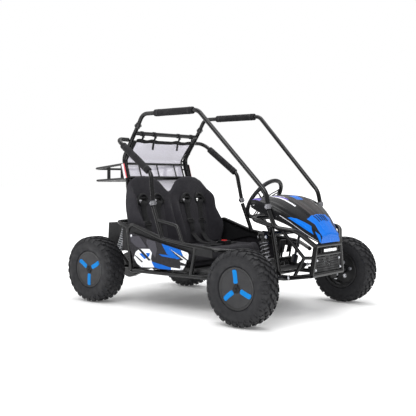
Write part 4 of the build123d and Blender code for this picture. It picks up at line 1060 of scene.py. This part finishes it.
def gear(centre, teeth, root, tip, thick, bore):
    """A toothed ring about the Y axis, sizes in millimetres."""
    tooth = ((0.0, root), (0.22, root), (0.42, tip), (0.58, tip), (0.78, root))
    edge = [(math.tau * (k + at) / teeth, r) for k in range(teeth) for at, r in tooth]
    inside = [(angle, bore) for angle, _ in edge]
    half = thick / 2
    return loft([[centre + Vector((math.cos(angle) * r, y, math.sin(angle) * r)) * mm for angle, r in ring]
                 for ring, y in ((edge, -half), (inside, -half), (inside, half), (edge, half))], closed=True)


build_chain()
trim("sprocket_teeth", [gear(sprocket_at, 36, 66.5, 70.5, 4.4, 62)], brushed, "axle_body", "zinc", flat=True)
trim("pinion_teeth", [gear(pinion_at, 11, 17.5, 20.5, 4.4, 8.1)], brushed, "pinion_body", "zinc", flat=True)


# ---- lamp, reflectors, rear cover trim, pedal treads ----
def rounded_plate(centre, across, up, out, width, height, radius, thick, count=6):
    """A plate with rounded corners, given its centre, its three directions and its size."""
    loop = []
    for cx, cy, start in ((1, 1, 0), (-1, 1, 90), (-1, -1, 180), (1, -1, 270)):
        for k in range(count + 1):
            angle = math.radians(start + 90 * k / count)
            loop.append((cx * (width / 2 - radius) + radius * math.cos(angle),
                         cy * (height / 2 - radius) + radius * math.sin(angle)))
    across, up, out = Vector(across), Vector(up), Vector(out)
    return loft([[Vector(centre) + ((across * a + up * b) * shrink + out * depth) * mm for a, b in loop]
                 for depth, shrink in ((0, 1.0), (thick * 0.7, 1.0), (thick, 0.985))])


lamp_glow = grained("lamp_lens", (0.92, 0.93, 0.95), 0.12, grain=900.0, depth=0.0001, vary=0.02, coat=0.8)
lens_inputs = lamp_glow.node_tree.nodes["Principled BSDF"].inputs
lens_inputs["Emission Color"].default_value = (1, 1, 1, 1)
lens_inputs["Emission Strength"].default_value = 0.35
lamp_red = grained("reflector_red", (0.75, 0.08, 0.1), 0.2, grain=420.0, depth=0.0003, coat=0.8)
lamp_white = grained("reflector_white", (0.88, 0.84, 0.87), 0.2, grain=420.0, depth=0.0003, coat=0.8,
                     vary=0.04)


lamp_z = 0.374


def build_trim():
    """Lamp lens and its ribs, two-colour reflectors, cover ribs and pedal treads."""
    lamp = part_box("light_bar")
    face = Vector((lamp[1][0] - 0.0005, 0, lamp_z))
    forwards = ((0, 1, 0), (0, 0, 1), (1, 0, 0))
    piece("lamp_lens", *rounded_plate(face, *forwards, 134, 15, 5, 2.2), lamp_glow, chassis, kind="lamp")
    ribs = [rounded_plate(face + Vector((0.0004, y * mm, 0)), *forwards, 1.6, 14, 0.6, 2.0)
            for y in (-45, -22, 0, 22, 45)]
    trim("lamp_ribs", ribs, satin_black)
    across, up = Vector((0.962, 0, 0.272)), Vector((-0.272, 0, 0.962))
    for name, side in sides.items():
        low, high = [Vector(c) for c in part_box("reflectors")]
        centre = Vector(((low.x + high.x) / 2, side * (high.y + 0.0001), (low.z + high.z) / 2))
        for shift, width, mat, half in ((-4.4, 16.6, lamp_white, "clear"), (8.4, 8.6, lamp_red, "red")):
            plate = rounded_plate(centre + across * shift * mm, across, up, (0, side, 0), width, 94, 2.5, 1.6)
            piece(f"reflector_{half}_{name}", *plate, mat, chassis, kind="reflector")
    cover_low, cover_high = [Vector(c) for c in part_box("rear_cover")]
    ribs = []
    for y in range(-240, 241, 60):
        at = Vector(((cover_low.x + cover_high.x) / 2, y * mm, cover_high.z))
        ribs.append(rounded_plate(at, (1, 0, 0), (0, 1, 0), (0, 0, 1), 140, 14, 5, 1.6))
    trim("rear_cover_ribs", ribs, moulded)
    for pedal in ("brake_pedal", "throttle_pedal"):
        low, high = [Vector(c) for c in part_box(pedal)]
        treads = []
        for k in range(6):
            t = (k + 0.5) / 6
            at = Vector((0.398 + 0.019 * t - 0.0002, (low.y + high.y) / 2, 0.325 + 0.075 * t))
            width = (high.y - low.y) / mm - 8
            treads.append(rounded_plate(at, (0, -1, 0), (0.24, 0, 0.97), (-0.97, 0, 0.24), width, 6, 2, 1.8))
        trim(f"{pedal}_treads", treads, rubber, f"{pedal}_body", "tyre")


build_trim()


# ---- bolts, nuts and washers ----
def build_bolts():
    """Hexagon bolts at every joint of the frame and suspension, grouped by the body that they ride on."""
    sets = {chassis: []}
    front = sets[chassis]
    for side in sides.values():
        for x in (562, 655):
            front += [((x + end * 28, side * 228, 232), (end, 0, 0), 13) for end in (-1, 1)]
        front += [((575 + end * 22, side * 318, 452), (end, 0, 0), 14) for end in (-1, 1)]
        front += [((-385, side * 204, 215), (0, side, 0), 16), ((-385, side * 140, 215), (0, -side, 0), 16)]
        front += [((-430, side * 356, 478), (0, side, 0), 13), ((-430, side * 320, 478), (0, -side, 0), 13)]
        front += [((x, side * panel_face, z), (0, side, 0), 10)
                  for x, z in ((-274, 424), (152, 338), (-186, 251), (118, 258))]
        front += [((793.8, side * y, z), (1, 0, 0), 9) for y, z in ((118, 322), (132, 270))]
        front += [((-484, side * y, 384), (1, 0, 0), 10) for y in (90, 230)]
    for name, side in sides.items():
        arm = [((600, side * 432, 276), (0, 0, 1), 17), ((600, side * 432, 156), (0, 0, -1), 15)]
        arm += [((622 + end * 22, side * 322, 262), (end, 0, 0), 14) for end in (-1, 1)]
        sets[f"a_arm_{name}_body"] = arm
        sets[f"knuckle_{name}_body"] = [((520, side * 432, 269), (0, 0, 1), 13),
                                        ((600, side * 566, 203), (0, side, 0), 17)]
    sets["swing_arm_body"] = [((-500, side * 354, 300), (0, side, 0), 13) for side in sides.values()]
    sets["swing_arm_body"] += [((-552, 150, z), (0, 1, 0), 9) for z in (250, 280)]
    sets["axle_body"] = [((-600, side * 482, 203), (0, side, 0), 19) for side in sides.values()]
    for body, places in sets.items():
        heads = [hex_bolt([c * mm for c in at], axis, across, 5.5) for at, axis, across in places]
        label = body.replace("_body", "")
        trim(f"bolts_{label}", heads, zinc, body, "zinc", flat=True)


build_bolts()

# ---- finishes of the CAD pieces that stay ----
roof_clamps_from = 1.03


def clamp_material():
    """Bright plated clamps low on the cage, painted black where they sit at the roof."""
    mat, tree, shader, where = start_material("clamp_plate", 0.3, coat=0.2)
    height = add_node(tree, "ShaderNodeSeparateXYZ", {0: where}).outputs["Z"]
    bright = reckon(tree, "LESS_THAN", height, roof_clamps_from)
    plated = vary_colour(tree, where, (0.3, 0.3, 0.32), 0.2, 30.0)
    colour = mix_colours(tree, bright, rgba((0.008, 0.008, 0.009)), plated)
    tree.links.new(colour, shader.inputs["Base Color"])
    tree.links.new(bright, shader.inputs["Metallic"])
    raise_bump(tree, shader, noise(tree, where, 180.0), 0.00006)
    return mat


shock_rods = "front_shock_left_rod front_shock_right_rod rear_shock_rod"
shock_bodies = "front_shock_left_body front_shock_right_body rear_shock_body"
cad_finish = (
    (black_paint, "lower_frame side_rails front_frame main_hoop roof_bars side_bars cargo_rack swing_arm"),
    (black_paint, "a_arm_left a_arm_right"),
    (satin_black, "rack_housing steering_column floor_pan brake_pedal throttle_pedal"),
    (satin_black, shock_bodies),
    (clamp_material(), "cage_clamps"),
    (brushed, "rack_bar motor_pinion sprocket"),
    (zinc, "tie_rod_left tie_rod_right knuckle_left knuckle_right"),
    (chrome, shock_rods),
    (dark_steel, "rear_axle brake_disc lower_shaft"),
    (moulded, "front_grille light_bar reflectors battery_pack rear_cover harness_fittings buckle_button_right"),
    (button_red, "buckle_button_left"),
    (panel_graphite, "side_panels"),
    (cast, "drive_motor brake_caliper"),
)
for finish, node_names in cad_finish:
    for node_name in node_names.split():
        for material_slot in nodes[node_name].material_slots:
            material_slot.material = finish


# ---- stage, light and camera ----
floor_radius = 60.0
glow_reach = (0.7, 2.4)
floor_glow = (0.12, 0.7)
room_light = (0.3, 1.0)


def floor_material():
    """White paper, shaded under the kart, that brightens outwards until it meets the white room."""
    mat, tree, shader, where = start_material("floor_paper", 0.8, spec=0.1)
    tree.links.new(vary_colour(tree, where, (0.9, 0.9, 0.9), 0.01, 2.0), shader.inputs["Base Color"])
    away = add_node(tree, "ShaderNodeVectorMath", {0: where}, operation="LENGTH").outputs["Value"]
    glow = rescale(tree, away, *glow_reach, *floor_glow, interpolation_type="SMOOTHSTEP")
    shader.inputs["Emission Color"].default_value = (1, 1, 1, 1)
    tree.links.new(glow, shader.inputs["Emission Strength"])
    raise_bump(tree, shader, noise(tree, where, 20.0), 0.0001)
    return mat


def build_room(world):
    """A white room to the camera; to the kart it's bright overhead and dimmer towards the horizon."""
    tree = world.node_tree
    plain = tree.nodes["Background"]
    plain.inputs["Color"].default_value = (1, 1, 1, 1)
    plain.inputs["Strength"].default_value = 1.0
    where = add_node(tree, "ShaderNodeTexCoord").outputs["Generated"]
    height = add_node(tree, "ShaderNodeSeparateXYZ", {0: where}).outputs["Z"]
    strength = rescale(tree, height, 0.0, 0.8, *room_light)
    lit = add_node(tree, "ShaderNodeBackground", {"Color": (1, 1, 1, 1), "Strength": strength})
    seen = add_node(tree, "ShaderNodeLightPath").outputs["Is Camera Ray"]
    both = add_node(tree, "ShaderNodeMixShader", {0: seen, 1: lit.outputs[0], 2: plain.outputs[0]})
    tree.links.new(both.outputs[0], tree.nodes["World Output"].inputs["Surface"])


lights = (("key_light", (1.5, -3.2, 3.6), 2.6, 90), ("fill_light", (-3.0, -2.4, 2.4), 2.4, 25),
          ("top_light", (0.0, 0.5, 4.2), 3.4, 70))


def build_stage():
    """A wide pale floor in a white room, and three soft lights."""
    corners = round_section(floor_radius, 64)
    mesh = bpy.data.meshes.new("studio_floor")
    mesh.from_pydata([(x, y, 0) for x, y in corners], [], [list(range(len(corners)))])
    floor = bpy.data.objects.new("studio_floor", mesh)
    bpy.context.collection.objects.link(floor)
    mesh.materials.append(floor_material())
    world = bpy.data.worlds.new("studio")
    bpy.context.scene.world = world
    world.use_nodes = True
    build_room(world)
    for label, place, size, power in lights:
        lamp = bpy.data.lights.new(label, "AREA")
        lamp.shape, lamp.size, lamp.energy = "DISK", size, power
        held = bpy.data.objects.new(label, lamp)
        bpy.context.collection.objects.link(held)
        held.location = place
        held.rotation_euler = (Vector((0, 0, 0.4)) - Vector(place)).to_track_quat("-Z", "Y").to_euler()


def build_camera():
    """The photograph's viewpoint: low, ahead of the kart and to its right."""
    data = bpy.data.cameras.new("camera")
    data.lens, data.sensor_width = 65.45, 36.0
    camera = bpy.data.objects.new("camera", data)
    bpy.context.collection.objects.link(camera)
    yaw, pitch, roll = math.radians(129.083), math.radians(-2.217), math.radians(0.119)
    ahead = Vector((math.cos(yaw) * math.cos(pitch), math.sin(yaw) * math.cos(pitch), math.sin(pitch)))
    camera.rotation_mode = "QUATERNION"
    level = ahead.to_track_quat("-Z", "Y")
    camera.rotation_quaternion = level @ Matrix.Rotation(roll, 3, "Z").to_quaternion()
    camera.location = (2.9014, -3.6469, 0.763)
    bpy.context.scene.camera = camera
    bpy.context.scene.view_settings.view_transform = "Standard"


build_stage()
build_camera()
